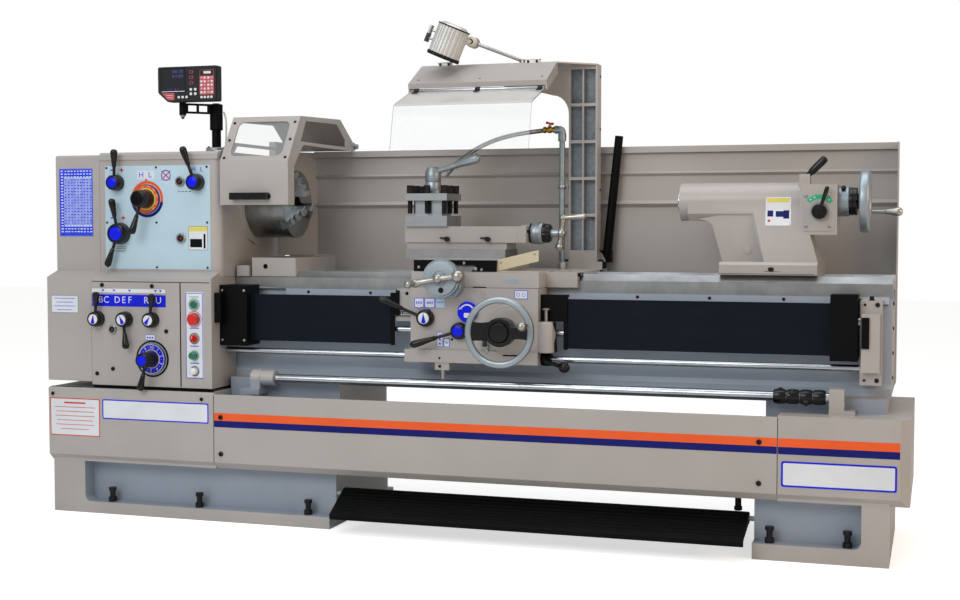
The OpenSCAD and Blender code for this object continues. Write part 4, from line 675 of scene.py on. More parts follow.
def addDisc(part, x, z, radius, face, look, lift, inner=0.0, sides=48):
    # a printed or turned disc, or a ring if it has an inner radius, standing on a face towards the front
    t = np.linspace(0, tau, sides, endpoint=False)
    r = max(inner, 0.01)
    section = np.array([(-ink["sunk"], r), (-ink["sunk"], radius), (lift, radius), (lift, r)])
    grid = np.stack([x + section[:, 1:] * np.cos(t), face - section[:, :1] + 0 * t, z + section[:, 1:] * np.sin(t)], -1)
    addGrid(part, grid, look, closeRows=True, closeCols=True)


def addWedge(part, points, face, look, lift=0.3):
    # a small printed polygon in X and Z
    addPlate(part, points, "y", face - lift, face + ink["sunk"], look)


def arcBand(x, z, outer, inner, low, high, steps):
    # the outline between two radii from one angle to another in degrees
    a = np.linspace(math.radians(low), math.radians(high), steps)
    rim = np.stack([np.cos(a), np.sin(a)], -1)
    return np.vstack([outer * rim, inner * rim[::-1]]) + (x, z)


headFace, gearFace, plateThick = -295.0, -360.0, 0.9

controlPlate = newPart()
addLabel(controlPlate, -466, -37, 892, 1267, headFace, "paleBluePrint", lift=plateThick, radius=3)
plateFace = headFace - plateThick
for x in (-459, -254, -49):
    for z in (1260, 1061, 899):
        addScrew(controlPlate, (x, plateFace, z), toFront, 8, 2.2)
addLabel(controlPlate, -331, -262, 1217, 1249, plateFace, "whitePrint", lift=0.2, radius=3)
printFace = plateFace - 0.2
addText(controlPlate, "H", (-315, printFace - ink["letter"], 1233), 30, "bluePrint")
addText(controlPlate, "L", (-279, printFace - ink["letter"], 1233), 30, "bluePrint")
addWedge(controlPlate, [(-300, 1212), (-290, 1212), (-295, 1223)], plateFace, "redPrint")


def addSigns(part, minus, plus, z):
    # a blue minus and a red plus printed over a lever
    addRule(part, minus - 9, minus + 9, z, 4.5, plateFace, "bluePrint")
    addRule(part, plus - 9, plus + 9, z, 4.5, plateFace, "redPrint")
    addRule(part, plus - 2.2, plus + 2.2, z, 18, plateFace, "redPrint")


addSigns(controlPlate, -434, -396, 1252)
for x, letter in ((-102, "H"), (-70, "L")):
    addText(controlPlate, letter, (x, plateFace - ink["letter"], 1251), 24, "bluePrint")
addSigns(controlPlate, -435, -392, 1078)
# crossed ring: the levers stay put while the spindle turns
addDisc(controlPlate, -214, 1231, 19.5, plateFace, "bluePrint", 0.3, 16)
for turn in (0.72, -0.72):
    c, s = 25 * math.cos(turn), 25 * math.sin(turn)
    n = np.array([-s, c]) / 25 * 1.9
    ends = np.array([(-214 - c, 1231 - s), (-214 + c, 1231 + s)])
    addWedge(controlPlate, np.array([ends[0] - n, ends[1] - n, ends[1] + n, ends[0] + n]), plateFace, "redPrint", 0.45)
for x in (-160, -146, -132, -118):
    addRule(controlPlate, x - 4.5, x + 4.5, 1172, 2.4, plateFace, "blackEnamel")
for row, width in enumerate((52, 46, 50, 38)):
    addRule(controlPlate, -405 - width / 2, -405 + width / 2, 972 - row * 6, 1.8, plateFace, "blackEnamel")
# bare field in the colours of the plate that stands here
addLabel(controlPlate, -124, -47, 962, 1048, plateFace, "whitePrint", "blackEnamel", 1.2, 0.5)
addLabel(controlPlate, -122, -49, 1029, 1046, plateFace - 0.6, "yellowPrint", lift=0.2, radius=1)
addBlock(controlPlate, -118, -70, plateFace - 0.95, plateFace - 0.5, 972, 1002, "blackEnamel")
addBlock(controlPlate, -64, -56, plateFace - 0.95, plateFace - 0.5, 968, 1020, "blackEnamel")
finishPart(controlPlate, "ControlPlate", "machine", bevel=0.25, segments=1)

# oil sight glasses: a chromed ring, a dark well and a domed glass with the red level dot
sightGlasses = newPart()
for x, z, face, r in ((-156, 1208, plateFace, 19), (-154, 1004, plateFace, 19), (-401, 674, gearFace, 17)):
    addTurned(sightGlasses, (x, face, z), toFront, [
        (-0.1, r), (5, r), (7, r - 1.5), (7, r * 0.68), (3.5, r * 0.64), (3.5, 0.0)], "turnedSteel", 40)
    addTurned(sightGlasses, (x, face - 3.6, z), toFront, [
        (0, r * 0.63), (0.8, r * 0.62), (2.1, r * 0.36), (2.5, 0.0)], "phenolic", 32)
    addTurned(sightGlasses, (x, face - 5.6, z), toFront, [(0, r * 0.16), (0.8, r * 0.14), (0.9, 0.0)], "redAbs", 16)
finishPart(sightGlasses, "SightGlasses", "machine")

# feed gearbox: cover screws, letter strip, seams and plates
gearPlates = newPart()
for x, z in ((-443, 835), (-238, 833), (-182, 672), (-402, 531), (-468, 512)):
    addScrew(gearPlates, (x, gearFace, z), toFront, 15, 4)
addLabel(gearPlates, -486, -185, 808, 822, gearFace, "whitePrint", lift=0.5)
addLabel(gearPlates, -486, -183, 758, 801, gearFace, "bluePrint", lift=0.7)
for x, letter in ((-472, "A"), (-449, "B"), (-426, "C"), (-381, "D"), (-354, "E"), (-329, "F"), (-262, "R"),
                  (-236, "S"), (-212, "U")):
    addText(gearPlates, letter, (x, gearFace - 0.85, 781), 34, "whiteAbs")
for x in (-440, -394, -330, -224, -204):
    addWedge(gearPlates, [(x - 6, 819), (x + 6, 819), (x, 811)], gearFace - 0.5, "bluePrint")
addLabel(gearPlates, -268, -227, 638, 659, gearFace, "whitePrint", "bluePrint", 1.5, 0.5)
for x in (-258, -248, -238):
    addRule(gearPlates, x - 3, x + 3, 648, 6, gearFace - 0.7, "chartBlue")
finishPart(gearPlates, "GearboxPlates", "machine", bevel=0.2, segments=1)

seams = newPart()
addBlock(seams, -127.5, -122.5, gearFace - 0.4, gearFace + 4, 474, 846, "blackEnamel")
addBlock(seams, -486, -8, gearFace - 0.3, gearFace + 4, 846, 849, "blackEnamel")
addBlock(seams, -487, -2, gearFace + 2, gearFace + 12, 461.5, 471.5, "blackEnamel")
finishPart(seams, "GearboxSeams", "machine", bevel=0.5, segments=1)

# switch plate rims, legends and their coloured rings
switchTrim = newPart()
switchFace = gearFace - 2.0
addLabel(switchTrim, -102, -34, 507, 811, switchFace, "whitePrint", "bluePrint", 2.2, 0.3)
switchFront = switchFace - 0.55
for z, ring, radius, inner, rise in (
        (770, "tealPrint", 22, 12.4, 3.2), (718, "redPrint", 29, 14, 0.5), (649, "blackEnamel", 20, 13.6, 3.2),
        (589, "tealPrint", 18, 9, 3.2), (533, "blackEnamel", 18, 9, 3.2)):
    addDisc(switchTrim, -68, z, radius, switchFront, ring, 0.5, radius - 2.5)
    addDisc(switchTrim, -68, z, radius * 0.8, switchFront, "turnedAluminium", rise, inner)
for z in (797, 686, 622, 561):
    addRule(switchTrim, -86, -50, z, 3, switchFront, "tealPrint" if z > 790 else "bluePrint")
addTurned(switchTrim, (-68, gearFace - 23.8, 589), toFront, [
    (0, 12.8), (1.2, 12.6), (3, 9.5), (3.6, 0)], "greenAbs", 32)
addTurned(switchTrim, (-68, gearFace - 17.8, 533), toFront, [
    (0, 12.8), (2.5, 12.2), (6, 8.0), (7.2, 0)], "whiteAbs", 32)
finishPart(switchTrim, "SwitchPlateTrim", "machine", bevel=0.25, segments=1)

# change gear cover: chart of blue rows, and a light plate lower down
gearChart = newPart()
addLabel(gearChart, -660, -519, 1011, 1259, headFace, "chartField", "chartBlue", 2.5, 0.7)
chartFace = headFace - 0.95
for x0, x1, z0, z1 in ((-657, -522, 1228, 1256), (-657, -641, 1014, 1228), (-641, -522, 1014, 1046)):
    addBlock(gearChart, x0, x1, chartFace - 0.25, chartFace + 0.05, z0, z1, "chartBlue")
for row in range(22):
    z = 1250 - row * 10.6
    field = "chartBlue" if 1050 < z < 1228 else "whitePrint"
    if field == "chartBlue":
        addRule(gearChart, -640, -523, z - 5.2, 0.8, chartFace, field)
    for x in range(9):
        width = 6 + 4 * ((row * 7 + x * 3) % 4) / 3
        middle = -633 + x * 13.2
        addRule(gearChart, middle - width / 2, middle + width / 2, z, 4.0, chartFace - 0.25, field, 0.25)
    addRule(gearChart, -653, -645 + row % 3, z, 4.6, chartFace - 0.25, "whitePrint", 0.25)
for x in (-641, -600, -561, -522.5):
    addBlock(gearChart, x - 0.5, x + 0.5, chartFace - 0.3, chartFace + 0.05, 1016, 1254, "chartBlue")
addLabel(gearChart, -658, -544, 731, 795, gearFace, "whitePrint", "turnedAluminium", 2.0, 0.7)
for row, width in enumerate((88, 70, 92, 64)):
    addRule(gearChart, -601 - width / 2, -601 + width / 2, 784 - row * 14, 2.0, gearFace - 0.95, "chartBlue")
finishPart(gearChart, "ChangeGearChart", "gear_cover", bevel=0.2, segments=1)

# stand heads: bare framed plates and the two vinyl stripes
standFace = inMachine(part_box("headstock_stand")[0])[1]
standPlates = newPart()
addLabel(standPlates, -652, -444, 283, 421, standFace, "whitePrint", "redPrint", 3.5, 0.6, 4)
for row, width in enumerate((90, 170, 158, 166, 150, 160, 120)):
    addRule(standPlates, -548 - width / 2, -548 + width / 2, 404 - row * 16, 2.2 if row else 6, standFace - 0.85,
            "redPrint")
addLabel(standPlates, -433, -3, 350, 422, standFace, "whitePrint", "bluePrint", 4.5, 0.6, 5)
addLabel(standPlates, 1989, 2336, 238, 319, standFace, "whitePrint", "bluePrint", 6.0, 0.6, 7)
finishPart(standPlates, "StandPlates", "machine", bevel=0.2, segments=1)

stripes = newPart()
trayEnd = bedEnd - 332
for z0, z1, look in ((363, 390, "orangePrint"), (340, 363, "navyPrint")):
    addPlate(stripes, rect(19, trayEnd - 2, z0, z1), "y", standFace - 0.55, standFace + 0.05, look)
    addPlate(stripes, rect(trayEnd + 2, bedEnd + 35, z0, z1), "y", standFace - 0.55, standFace + 0.05, look)
for x in (45, 1920):
    for z in (375, 245):
        addScrew(stripes, (x, standFace, z), toFront, 17, 5)
finishPart(stripes, "VinylStripes", "machine", bevel=0.15, segments=1)

# left head: the joint round its front casting and its two fixing screws
standSeams = newPart()
for x in (17.2, trayEnd):
    addBlock(standSeams, x - 1.1, x + 0.9, standFace - 0.5, standFace + 3, 214, 454, "blackEnamel")
addBlock(standSeams, -656, 12, standFace + 15, standFace + 22, 455, 461.8, "blackEnamel")
for x in (-640, -30):
    addScrew(standSeams, (x, standFace, 436), toFront, 13, 4)
finishPart(standSeams, "StandSeams", "machine", bevel=0.3, segments=1)
print("plates, stripes and seams placed")


# hand levers and dials

leverShape = {"gap": 0.9, "capInset": 3.0, "neck": 5.6}


def addHub(part, at, face, diameter, length, capLook, arrow=None):
    # stepped phenolic hub turned on the lever's axis, with a printed cap sunk in its front
    r, inset = diameter / 2, leverShape["capInset"]
    back = face - leverShape["gap"]
    front = back - length
    addTurned(part, (at[0], back, at[1]), toFront, [
        (0, r), (3, r), (length * 0.55, r * 0.96), (length - 5, r * 0.90), (length - 1.5, r * 0.84), (length, r * 0.76),
        (length, r * 0.66), (length - inset, r * 0.64), (length - inset, 0)], "phenolic", 48)
    addTurned(part, (at[0], front + inset + 0.1, at[1]), toFront, [
        (0, r * 0.63), (2.3, r * 0.63), (2.9, r * 0.60), (2.9, 0)], capLook, 40)
    if arrow is not None:
        # long wedge of the setting, its tip at the cap's edge
        c, s = math.cos(arrow), math.sin(arrow)
        shape = np.array([(-0.58, 0.0), (-0.50, -0.27), (0.60, 0.0), (-0.50, 0.27)]) * r
        turned = np.stack([at[0] + shape[:, 0] * c - shape[:, 1] * s, at[1] + shape[:, 0] * s + shape[:, 1] * c], -1)
        addPlate(part, turned, "y", front - 0.1, front + 0.4, "bluePrint")


def addArm(part, at, face, tip, length, lean):
    # neck and drawn-out grip: a round section along a straight line, thin at the hub, swelling to a rounded tip
    root = np.array([at[0], face - length * 0.55, at[1]])
    end = root + np.array([tip[0], -lean, tip[1]])
    u = np.array([0.10, 0.44, 0.50, 0.53, 0.62, 0.76, 0.90, 0.98, 1.03, 1.06, 1.075])
    r = np.array([1.0, 1.0, 1.04, 1.45, 1.55, 1.90, 2.25, 2.30, 2.02, 1.35, 0.30]) * leverShape["neck"]
    addTube(part, root + (end - root) * u[:, None], r, "phenolic", 24)


def makeLever(name, node, at, face, tips, hub, length, lean, cap, arrow=None):
    part = newPart()
    addHub(part, at, face, hub, length, cap, arrow)
    for tip in tips:
        addArm(part, at, face, tip, length, lean)
    return finishPart(part, name, node, replaces=(node,))


def addNumbers(part, x, z, radius, face, labels, size, look, start=90.0, span=360.0):
    # labels set round an arc, each upright to the dial's centre
    step = span / len(labels)
    for i, label in enumerate(labels):
        a = math.radians(start - i * step)
        addText(part, label, (x + radius * math.cos(a), face, z + radius * math.sin(a)), size, look,
                turn=a - math.pi / 2)


headBase, speedAt, feedAt = headFace - 0.6, (-292, 1146), (-239, 572)
makeLever("DirectionLever", "direction_lever", (-415, 1206), headBase, [(8, 112)], 60, 38, 12, "blueAbs")
makeLever("HighLowLever", "high_low_lever", (-88, 1205), headBase, [(-38, 118)], 62, 38, 12, "blueAbs")
makeLever("RangeLever", "range_lever", (-402, 1021), headBase, [(-16, 118), (-36, -112)], 80, 40, 12, "blueAbs")
for name, node, x, tip, arrow in (
        ("FeedKnobLeft", "feed_knob_left", -462, (10, 92), 1.5),
        ("FeedKnobMiddle", "feed_knob_middle", -346, (14, -98), 2.0),
        ("FeedKnobRight", "feed_knob_right", -238, (14, 88), 1.0)):
    makeLever(name, node, (x, 712), gearFace, [tip], 58, 34, 8, "whiteAbs", arrow)

speedDial = newPart()
addDisc(speedDial, *speedAt, 53, headBase - 0.9, "navyPrint", 8.0)
addDisc(speedDial, *speedAt, 51, headBase - 8.9, "orangePrint", 0.5, 40)
addDisc(speedDial, *speedAt, 40, headBase - 8.9, "yellowPrint", 0.9, 35)
addNumbers(speedDial, *speedAt, 45.5, headBase - 9.5, ["25", "40", "70", "115", "190", "300", "520", "860"], 8.2,
           "whiteAbs", 170, 250)
addHub(speedDial, speedAt, headBase - 9, 68, 60, "blackEnamel")
addArm(speedDial, speedAt, headBase, (-28, -118), 70, 20)
finishPart(speedDial, "SpeedDial", "speed_dial", replaces=("speed_dial",))

# fixed orange and navy scale on the plate round the speed dial
speedScale = newPart()
addDisc(speedScale, *speedAt, 66, plateFace, "orangePrint", 0.4, 56)
addPlate(speedScale, arcBand(*speedAt, 66.4, 56, 190, 350, 28), "y", plateFace - 0.6, plateFace, "navyPrint")
finishPart(speedScale, "SpeedScale", "machine")

feedDial = newPart()
addDisc(feedDial, *feedAt, 53, gearFace - 0.9, "navyPrint", 9.0)
for r1, r0, look in ((53, 51, "creamPlastic"), (51, 34, "bluePrint"), (34, 31.5, "creamPlastic")):
    addDisc(feedDial, *feedAt, r1, gearFace - 9.8, look, 0.5, r0)
addNumbers(feedDial, *feedAt, 41.5, gearFace - 10.4, [str(i) for i in range(1, 11)], 18, "creamPlastic", 52, 360)
addNumbers(feedDial, *feedAt, 41.5, gearFace - 10.4, ["I"] * 10, 8, "yellowPrint", 34, 360)
addHub(feedDial, feedAt, gearFace - 10, 58, 67, "blueAbs")
addArm(feedDial, feedAt, gearFace, (-24, -104), 78, 4)
finishPart(feedDial, "FeedDial", "feed_dial", replaces=("feed_dial",))
feedScale = newPart()
addDisc(feedScale, *feedAt, 65.5, gearFace, "blackEnamel", 3.0, 60)
addDisc(feedScale, *feedAt, 60, gearFace, "turnedAluminium", 2.0, 54)
finishPart(feedScale, "FeedScale", "machine")

# buttons and the selector
buttons = newPart()
addTurned(buttons, (-68, gearFace - 2.8, 770), toFront, [
    (-4, 7.8), (3.1, 7.8), (3.4, 11.8), (8, 11.8), (9.2, 10.6), (9.2, 9.4), (8.2, 8.8), (8.2, 0)], "greenAbs", 40)
finishPart(buttons, "StartButton", "start_button", replaces=("start_button",))
stopButton = newPart()
addTurned(stopButton, (-68, gearFace - 3.0, 718), toFront, [
    (-4, 7.8), (7, 7.8), (7.5, 20.6), (13, 21), (18, 19.5), (22, 14.5), (23, 0)], "redAbs", 48)
finishPart(stopButton, "StopButton", "stop_button", replaces=("stop_button",))
selector = newPart()
addTurned(selector, (-68, gearFace - 2.9, 649), toFront, [(0, 13), (6.0, 13), (7.1, 11.8), (7.1, 0)], "redAbs", 40)
addPlate(selector, roundRect(-72, -64, 637, 661, 3.4), "y", gearFace - 24, gearFace - 9.5, "redAbs")
addPlate(selector, rect(-68.8, -67.2, 650, 659), "y", gearFace - 24.3, gearFace - 23.9, "whiteAbs")
finishPart(selector, "SelectorSwitch", "selector_switch", bevel=0.9, replaces=("selector_switch",))

# apron levers, with a white and a blue cap
makeLever("HalfNutLever", "half_nut_lever", (784, 736), -300.0, [(-152, 62)], 62, 26, 18, "whiteAbs", 1.6)
makeLever("FeedLever", "feed_lever", (906, 694), -300.0, [(-150, -46)], 60, 26, 34, "blueAbs")
print("levers and dials made")


# handwheels, cranks and the tool post's lever

def addBall(part, centre, radius, look, sides=28, axis=toFront):
    # a sphere as a turned profile: (r sin a, r cos a)
    a = np.linspace(-tau / 4, tau / 4, 15)
    addTurned(part, centre, axis, np.stack([radius * np.sin(a), radius * np.cos(a)], -1), look, sides)


def addTorus(part, centre, axis, ring, tube, look, turns=80, sides=20, flat=1.0, square=1.0):
    # centre + (R + r C)(u cos a + v sin a) + flat r S * axis, C and S the cosine and sine of b to the power square
    axis, u, v = crossFrame(axis)
    a = np.linspace(0, tau, turns, endpoint=False)[:, None, None]
    b = np.linspace(0, tau, sides, endpoint=False)[None, :, None]
    c, s = (np.sign(w) * np.abs(w) ** square for w in (np.cos(b), np.sin(b)))
    grid = np.asarray(centre, float) + (ring + tube * c) * (u * np.cos(a) + v * np.sin(a)) + flat * tube * s * axis
    addGrid(part, grid, look, closeRows=True, closeCols=True)


def addGrip(part, root, tip, radii, look, sides=24):
    # a straight bar whose radius follows the list, with its far end rounded off: the last radius r goes as r cos a
    root, tip = np.asarray(root, float), np.asarray(tip, float)
    length = np.linalg.norm(tip - root)
    end = radii[-1]
    s = np.linspace(0, length - end * 0.7, len(radii))
    a = np.linspace(0, tau / 4, 7)[1:]
    s = np.concatenate([s, length - end * 0.7 + end * 0.7 * np.sin(a)])
    r = np.concatenate([radii, end * np.maximum(np.cos(a), 0.01)])
    path = root + (tip - root) / length * s[:, None]
    addTube(part, path, r, look, sides, upright=crossFrame(tip - root)[1])


def addThread(part, start, axis, length, radius, pitch, depth, look, sides=20, perTurn=6):
    # trapezoid thread, t once round for each pitch of s: r = R - depth (1 - clip(0.5 + 1.4 cos(2 pi s / pitch - t), 0,
    # 1))
    axis, u, v = crossFrame(axis)
    s = np.linspace(0, length, int(length / pitch * perTurn) + 1)[:, None]
    t = np.linspace(0, tau, sides, endpoint=False)[None, :]
    crest = np.clip(0.5 + 1.4 * np.cos(tau * s / pitch - t), 0, 1)
    fade = np.clip(np.minimum(s, length - s) / pitch, 0, 1)
    r = (radius - depth * (1 - crest * fade))[:, :, None]
    ring = u * np.cos(t)[:, :, None] + v * np.sin(t)[:, :, None]
    grid = np.asarray(start, float) + s[:, :, None] * axis + r * ring
    addGrid(part, grid, look, closeCols=True, capStart=True, capEnd=True)


def addFluted(part, start, axis, stations, count, look, power=12, perFlute=8):
    # r = radius - depth |cos(n t / 2)| ^ power: broad flats with a narrow groove between each two
    axis, u, v = crossFrame(axis)
    s, r, depth = (c[:, None] for c in np.array(stations, float).T)
    t = np.linspace(0, tau, count * perFlute, endpoint=False)[None, :]
    radius = np.maximum(r - depth * np.abs(np.cos(count * t / 2)) ** power, 0.01)[:, :, None]
    ring = u * np.cos(t)[:, :, None] + v * np.sin(t)[:, :, None]
    grid = np.asarray(start, float) + s[:, :, None] * axis + radius * ring
    addGrid(part, grid, look, closeCols=True, capStart=True, capEnd=True)


def addTicks(part, centre, axis, radius, low, high, count, look, width=0.7):
    # graduations round a drum: thin bars lying along its axis, every fifth one longer
    axis, u, v = crossFrame(axis)
    for i in range(count):
        t = tau * i / count
        out, side = u * math.cos(t) + v * math.sin(t), v * math.cos(t) - u * math.sin(t)
        far = high if i % 5 == 0 else low + (high - low) * 0.6
        corners = np.array([(s, w) for s, w in ((low, -width), (far, -width), (far, width), (low, width))])
        base = np.asarray(centre, float) + corners[:, :1] * axis + corners[:, 1:] / 2 * side
        bar = np.stack([base + out * (radius - 0.4), base + out * (radius + 0.2)])
        addGrid(part, bar, look, closeCols=True, capStart=True, capEnd=True)


handwheel = {"x": 1082.0, "y": -420.0, "z": 701.0, "ring": 107.0, "tube": 11.0}
w = handwheel
wheel = newPart()
addTorus(wheel, (w["x"], w["y"], w["z"]), toFront, w["ring"], w["tube"], "turnedAluminium", 96, 28, square=0.72)
addTurned(wheel, (w["x"], -288, w["z"]), toFront, [(0, 15), (84, 15)], "groundShaft", 32)
addTurned(wheel, (w["x"], -370.3, w["z"]), toFront, [
    (0, 44), (2, 47), (20, 48), (34, 48), (36, 46), (38, 48), (54, 48), (57.5, 45), (57.7, 35), (55.5, 34),
    (55.5, 32.5), (60, 32), (63, 29.5), (63.5, 26), (63.5, 0)], "phenolic", 64)
leftSpoke = [(-24, 36), (-44, 33), (-66, 31), (-88, 33), (-102, 38), (-102, -34), (-88, -29), (-66, -28), (-44, -29),
             (-24, -33)]
rightSpoke = [(24, -26), (44, -22), (66, -20), (88, -22), (102, -26), (102, 24), (88, 18), (66, 17), (44, 19), (24, 25)]
for spoke in (leftSpoke, rightSpoke):
    shape = np.array(spoke, float)
    edgeLine = np.vstack([smoothPath(shape[:5], 5), smoothPath(shape[5:], 5)]) + (w["x"], w["z"])
    addPlate(wheel, edgeLine, "y", -425, -412, "phenolic")
addTurned(wheel, (1176, -426, 726.7), toFront, [
    (-8, 9), (3, 9), (5, 7.6), (22, 7), (24, 9), (27, 9.6), (34, 11.6), (44, 14.8), (52, 16), (60, 15.2), (66, 12),
    (70, 7), (72, 0)], "satinChrome", 32)
finishPart(wheel, "CarriageHandwheel", "carriage_handwheel", bevel=1.4, replaces=("carriage_handwheel",))

# cross slide crank: graduated drum with a ball crank; on the drum's face one dark disc is painted shade for a sunk hole
crank = newPart()
sx, sz = 860.0, 873.0
addTurned(crank, (sx, -342.3, sz), toFront, [
    (0, 60), (0, 64), (1.5, 65), (22, 65), (24, 64), (24, 60), (26, 58.5), (31.5, 57), (32, 54), (32, 26), (30, 25),
    (30, 22),
    (40, 21.5), (44, 20), (44, 0)], "turnedAluminium", 72)
addTicks(crank, (sx, -342.3, sz), toFront, 65, 1.5, 12, 50, "blackEnamel")
addTurned(crank, (sx, -185, sz), toFront, [(0, 12), (158, 12)], "groundShaft", 28)
# painted shade: a black disc where the drum has a hole
addTurned(crank, (sx + 4, -374.4, sz - 39), toFront, [
    (0, 9.5), (0.5, 9.5), (0.5, 6.6), (0.1, 6.4), (0.1, 0)], "phenolic", 28)
addBall(crank, (sx, -392.3, sz), 17.5, "satinChrome")
addGrip(crank, (sx, -392.3, sz), (sx + 66, -392.3, sz + 8.5), [13, 10.5, 10, 10.5, 12], "satinChrome")
addBall(crank, (sx + 70, -392.3, sz + 9), 22.5, "satinChrome", 32)
addGrip(crank, (sx, -392.3, sz), (sx - 80, -394.3, sz - 16), [12.5, 10, 9.5, 10, 12.5], "satinChrome")
addBall(crank, (sx - 80, -393, sz - 16), 15, "satinChrome")
addGrip(crank, (sx - 78, -388, sz - 16), (sx - 97, -440, sz - 20), [8.4, 8.8, 9.4, 10.2, 11.2, 12.0, 12.2, 12],
        "satinChrome")
finishPart(crank, "CrossFeedCrank", "cross_feed_crank", smooth=40, replaces=("cross_feed_crank",))

# compound crank on the slide's right end
topCrank = newPart()
cx, cy, cz = 1082.3, -40.0, 1023.3
addTurned(topCrank, (cx, cy, cz), toRight, [
    (8, 34), (8, 37.5), (10, 38.5), (26, 38.5), (27, 37.6), (28, 38.5), (44, 38.5), (46, 37), (46, 15),
    (76, 14), (100, 14), (102, 12), (102, 0)], "turnedAluminium", 60)
addTurned(topCrank, (cx, cy, cz), toRight, [(0, 33), (1, 36), (8, 36), (8.4, 34)], "phenolic", 48)
addFluted(topCrank, (cx + 46, cy, cz), toRight, [
    (0, 30, 0), (1, 33, 2), (20, 33, 2), (26, 29, 2), (28, 24, 0)], 14, "phenolic", power=4)
addTicks(topCrank, (cx, cy, cz), toRight, 38.5, 29, 41, 50, "blackEnamel", width=0.6)
addTurned(topCrank, (1070, cy, cz), toRight, [(0, 10), (14, 10)], "groundShaft", 24)
addBall(topCrank, (cx + 110, cy, cz), 17.5, "satinChrome", 28, toRight)
addGrip(topCrank, (cx + 110, cy, cz), (cx + 103.5, cy, cz - 46), [11.5, 9.5, 9, 9.5, 11], "satinChrome")
addBall(topCrank, (cx + 103, cy, cz - 48), 15, "satinChrome")
addGrip(topCrank, (cx + 110, cy, cz), (cx + 117, cy, cz + 52), [11.5, 9.5, 9, 9.5, 11], "satinChrome")
addBall(topCrank, (cx + 115, cy, cz + 52), 13, "satinChrome")
addGrip(topCrank, (cx + 112, cy, cz + 54), (cx + 199, cy, cz + 58.4),
        [8.2, 8.4, 8.8, 9.6, 10.6, 11.4, 11.9, 12.0, 11.8], "satinChrome")
finishPart(topCrank, "CompoundCrank", "compound_crank", smooth=40, replaces=("compound_crank",))

# end bearing of the slide: the slide's own section, dovetail slot too, carried on to the dial
slideBox = inMachine(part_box("compound_slide"))
slideLow, slideEnd = slideBox[0][2], slideBox[1][0]
bearing = newPart()
slideTall = 1048 - slideLow
section = np.array([(-65, 0), (-29.8, 0), (-41, 16.6), (41, 16.6), (29.8, 0), (65, 0),
                    (65, slideTall), (-65, slideTall)])
addPlate(bearing, section + (cy, slideLow), "x", slideEnd - 29.8, slideEnd - 0.2, "enamelOnCastIron")
for y in (-88, 8):
    addScrew(bearing, (slideEnd - 0.2, y, 1030), toRight, 11, 3)
finishPart(bearing, "SlideEndBearing", "compound_slide", bevel=2, segments=2)

# tool post clamping lever: stepped nut and a grip that swells towards its end
postLever = newPart()
px, py, pz = 718.0, -40.0, 1163.3
addTurned(postLever, (px, py, pz), toTop, [
    (0.3, 17.5), (0.3, 31), (2, 33), (14, 33), (16, 31), (17, 28.5), (19, 28.5), (40, 28.5), (42, 27.4), (44, 28.5),
    (74, 28.5),
    (78, 27), (84, 25), (92, 23), (95, 20), (95.6, 16), (95.6, 0)], "turnedAluminium", 56)
addGrip(postLever, (px + 10, py, pz + 78), (px + 96, py - 10, pz + 103), [9.5, 9.5, 9.8, 10.6, 11.5], "turnedAluminium")
addGrip(postLever, (px + 92, py - 9.5, pz + 102), (px + 181, py - 20, pz + 127.3),
        [11.0, 12.0, 13.4, 15.0, 16.2, 17.1, 17.5, 17.0], "turnedAluminium", 28)
addTurned(postLever, (px + 86, py - 8.8, pz + 100.2), (84, -10, 24), [
    (0, 12.2), (7, 12.6), (7.5, 12)], "satinChrome", 28)
finishPart(postLever, "ToolPostLever", "tool_post_lever", smooth=36, replaces=("tool_post_lever",))

# the eight tool bolts: threads on their shanks and rings round their sockets
boltParts = newPart()
for dx, dy in ((-64, -64), (-64, 0), (-64, 64), (0, -64), (0, 64), (64, -64), (64, 0), (64, 64)):
    x, y = px + dx, py + dy
    addThread(boltParts, (x, y, 1094), toTop, 43, 8.9, 2.5, 0.8, "blackenedSteel", 16, 5)
    addTurned(boltParts, (x, y, 1191.8), toTop, [
        (0, 11.2), (0.9, 11), (1.4, 10), (1.4, 6.4), (0.7, 6.1), (0.7, 0)], "oiledSteel", 24)
finishPart(boltParts, "ToolPostBolts", "tool_post")

# tailstock handwheel: graduated aluminium drum, black collar, three-spoked rim and a turned handle
tailWheel = newPart()
tx, tz = 2128.3, 1130.0
addTurned(tailWheel, (tx - 191, 0, tz), toRight, [(0, 15), (192, 15)], "groundShaft", 32)
addTurned(tailWheel, (tx, 0, tz), toRight, [
    (0, 46), (0, 48.5), (2, 49.5), (32, 49.5), (34, 48), (34, 40)], "turnedAluminium", 72)
addTicks(tailWheel, (tx, 0, tz), toRight, 49.5, 2, 15, 50, "blackEnamel")
addTurned(tailWheel, (tx + 33.5, 0, tz), toRight, [
    (0, 45), (2, 46), (12, 46), (13, 45), (14, 46), (24, 46), (26.5, 44), (26.5, 20)], "phenolic", 60)
addTurned(tailWheel, (tx + 59, 0, tz), toRight, [
    (0, 26), (8, 24), (30, 23), (35, 21.5), (37, 19), (37, 11), (35, 10), (35, 0)], "blackEnamel", 48)
addTorus(tailWheel, (tx + 85, 0, tz), toRight, 91, 12, "turnedAluminium", 88, 28, 1.4, 0.72)
for turn in (-30, 90, 210):
    a = math.radians(turn)
    out, side = np.array([0, -math.sin(a), math.cos(a)]), np.array([0, math.cos(a), math.sin(a)])
    path = np.array([(tx + 70, 10), (tx + 78, 36), (tx + 82, 62), (tx + 85, 88)])
    path = path[:, :1] * [1, 0, 0] + path[:, 1:] * out + [0, 0, tz]
    addTube(tailWheel, smoothPath(path, 5), np.linspace(14, 12, 16), "blackEnamel", 20, upright=side, flat=0.55)
out = np.array([0, -math.sin(math.radians(-113)), math.cos(math.radians(-113))])
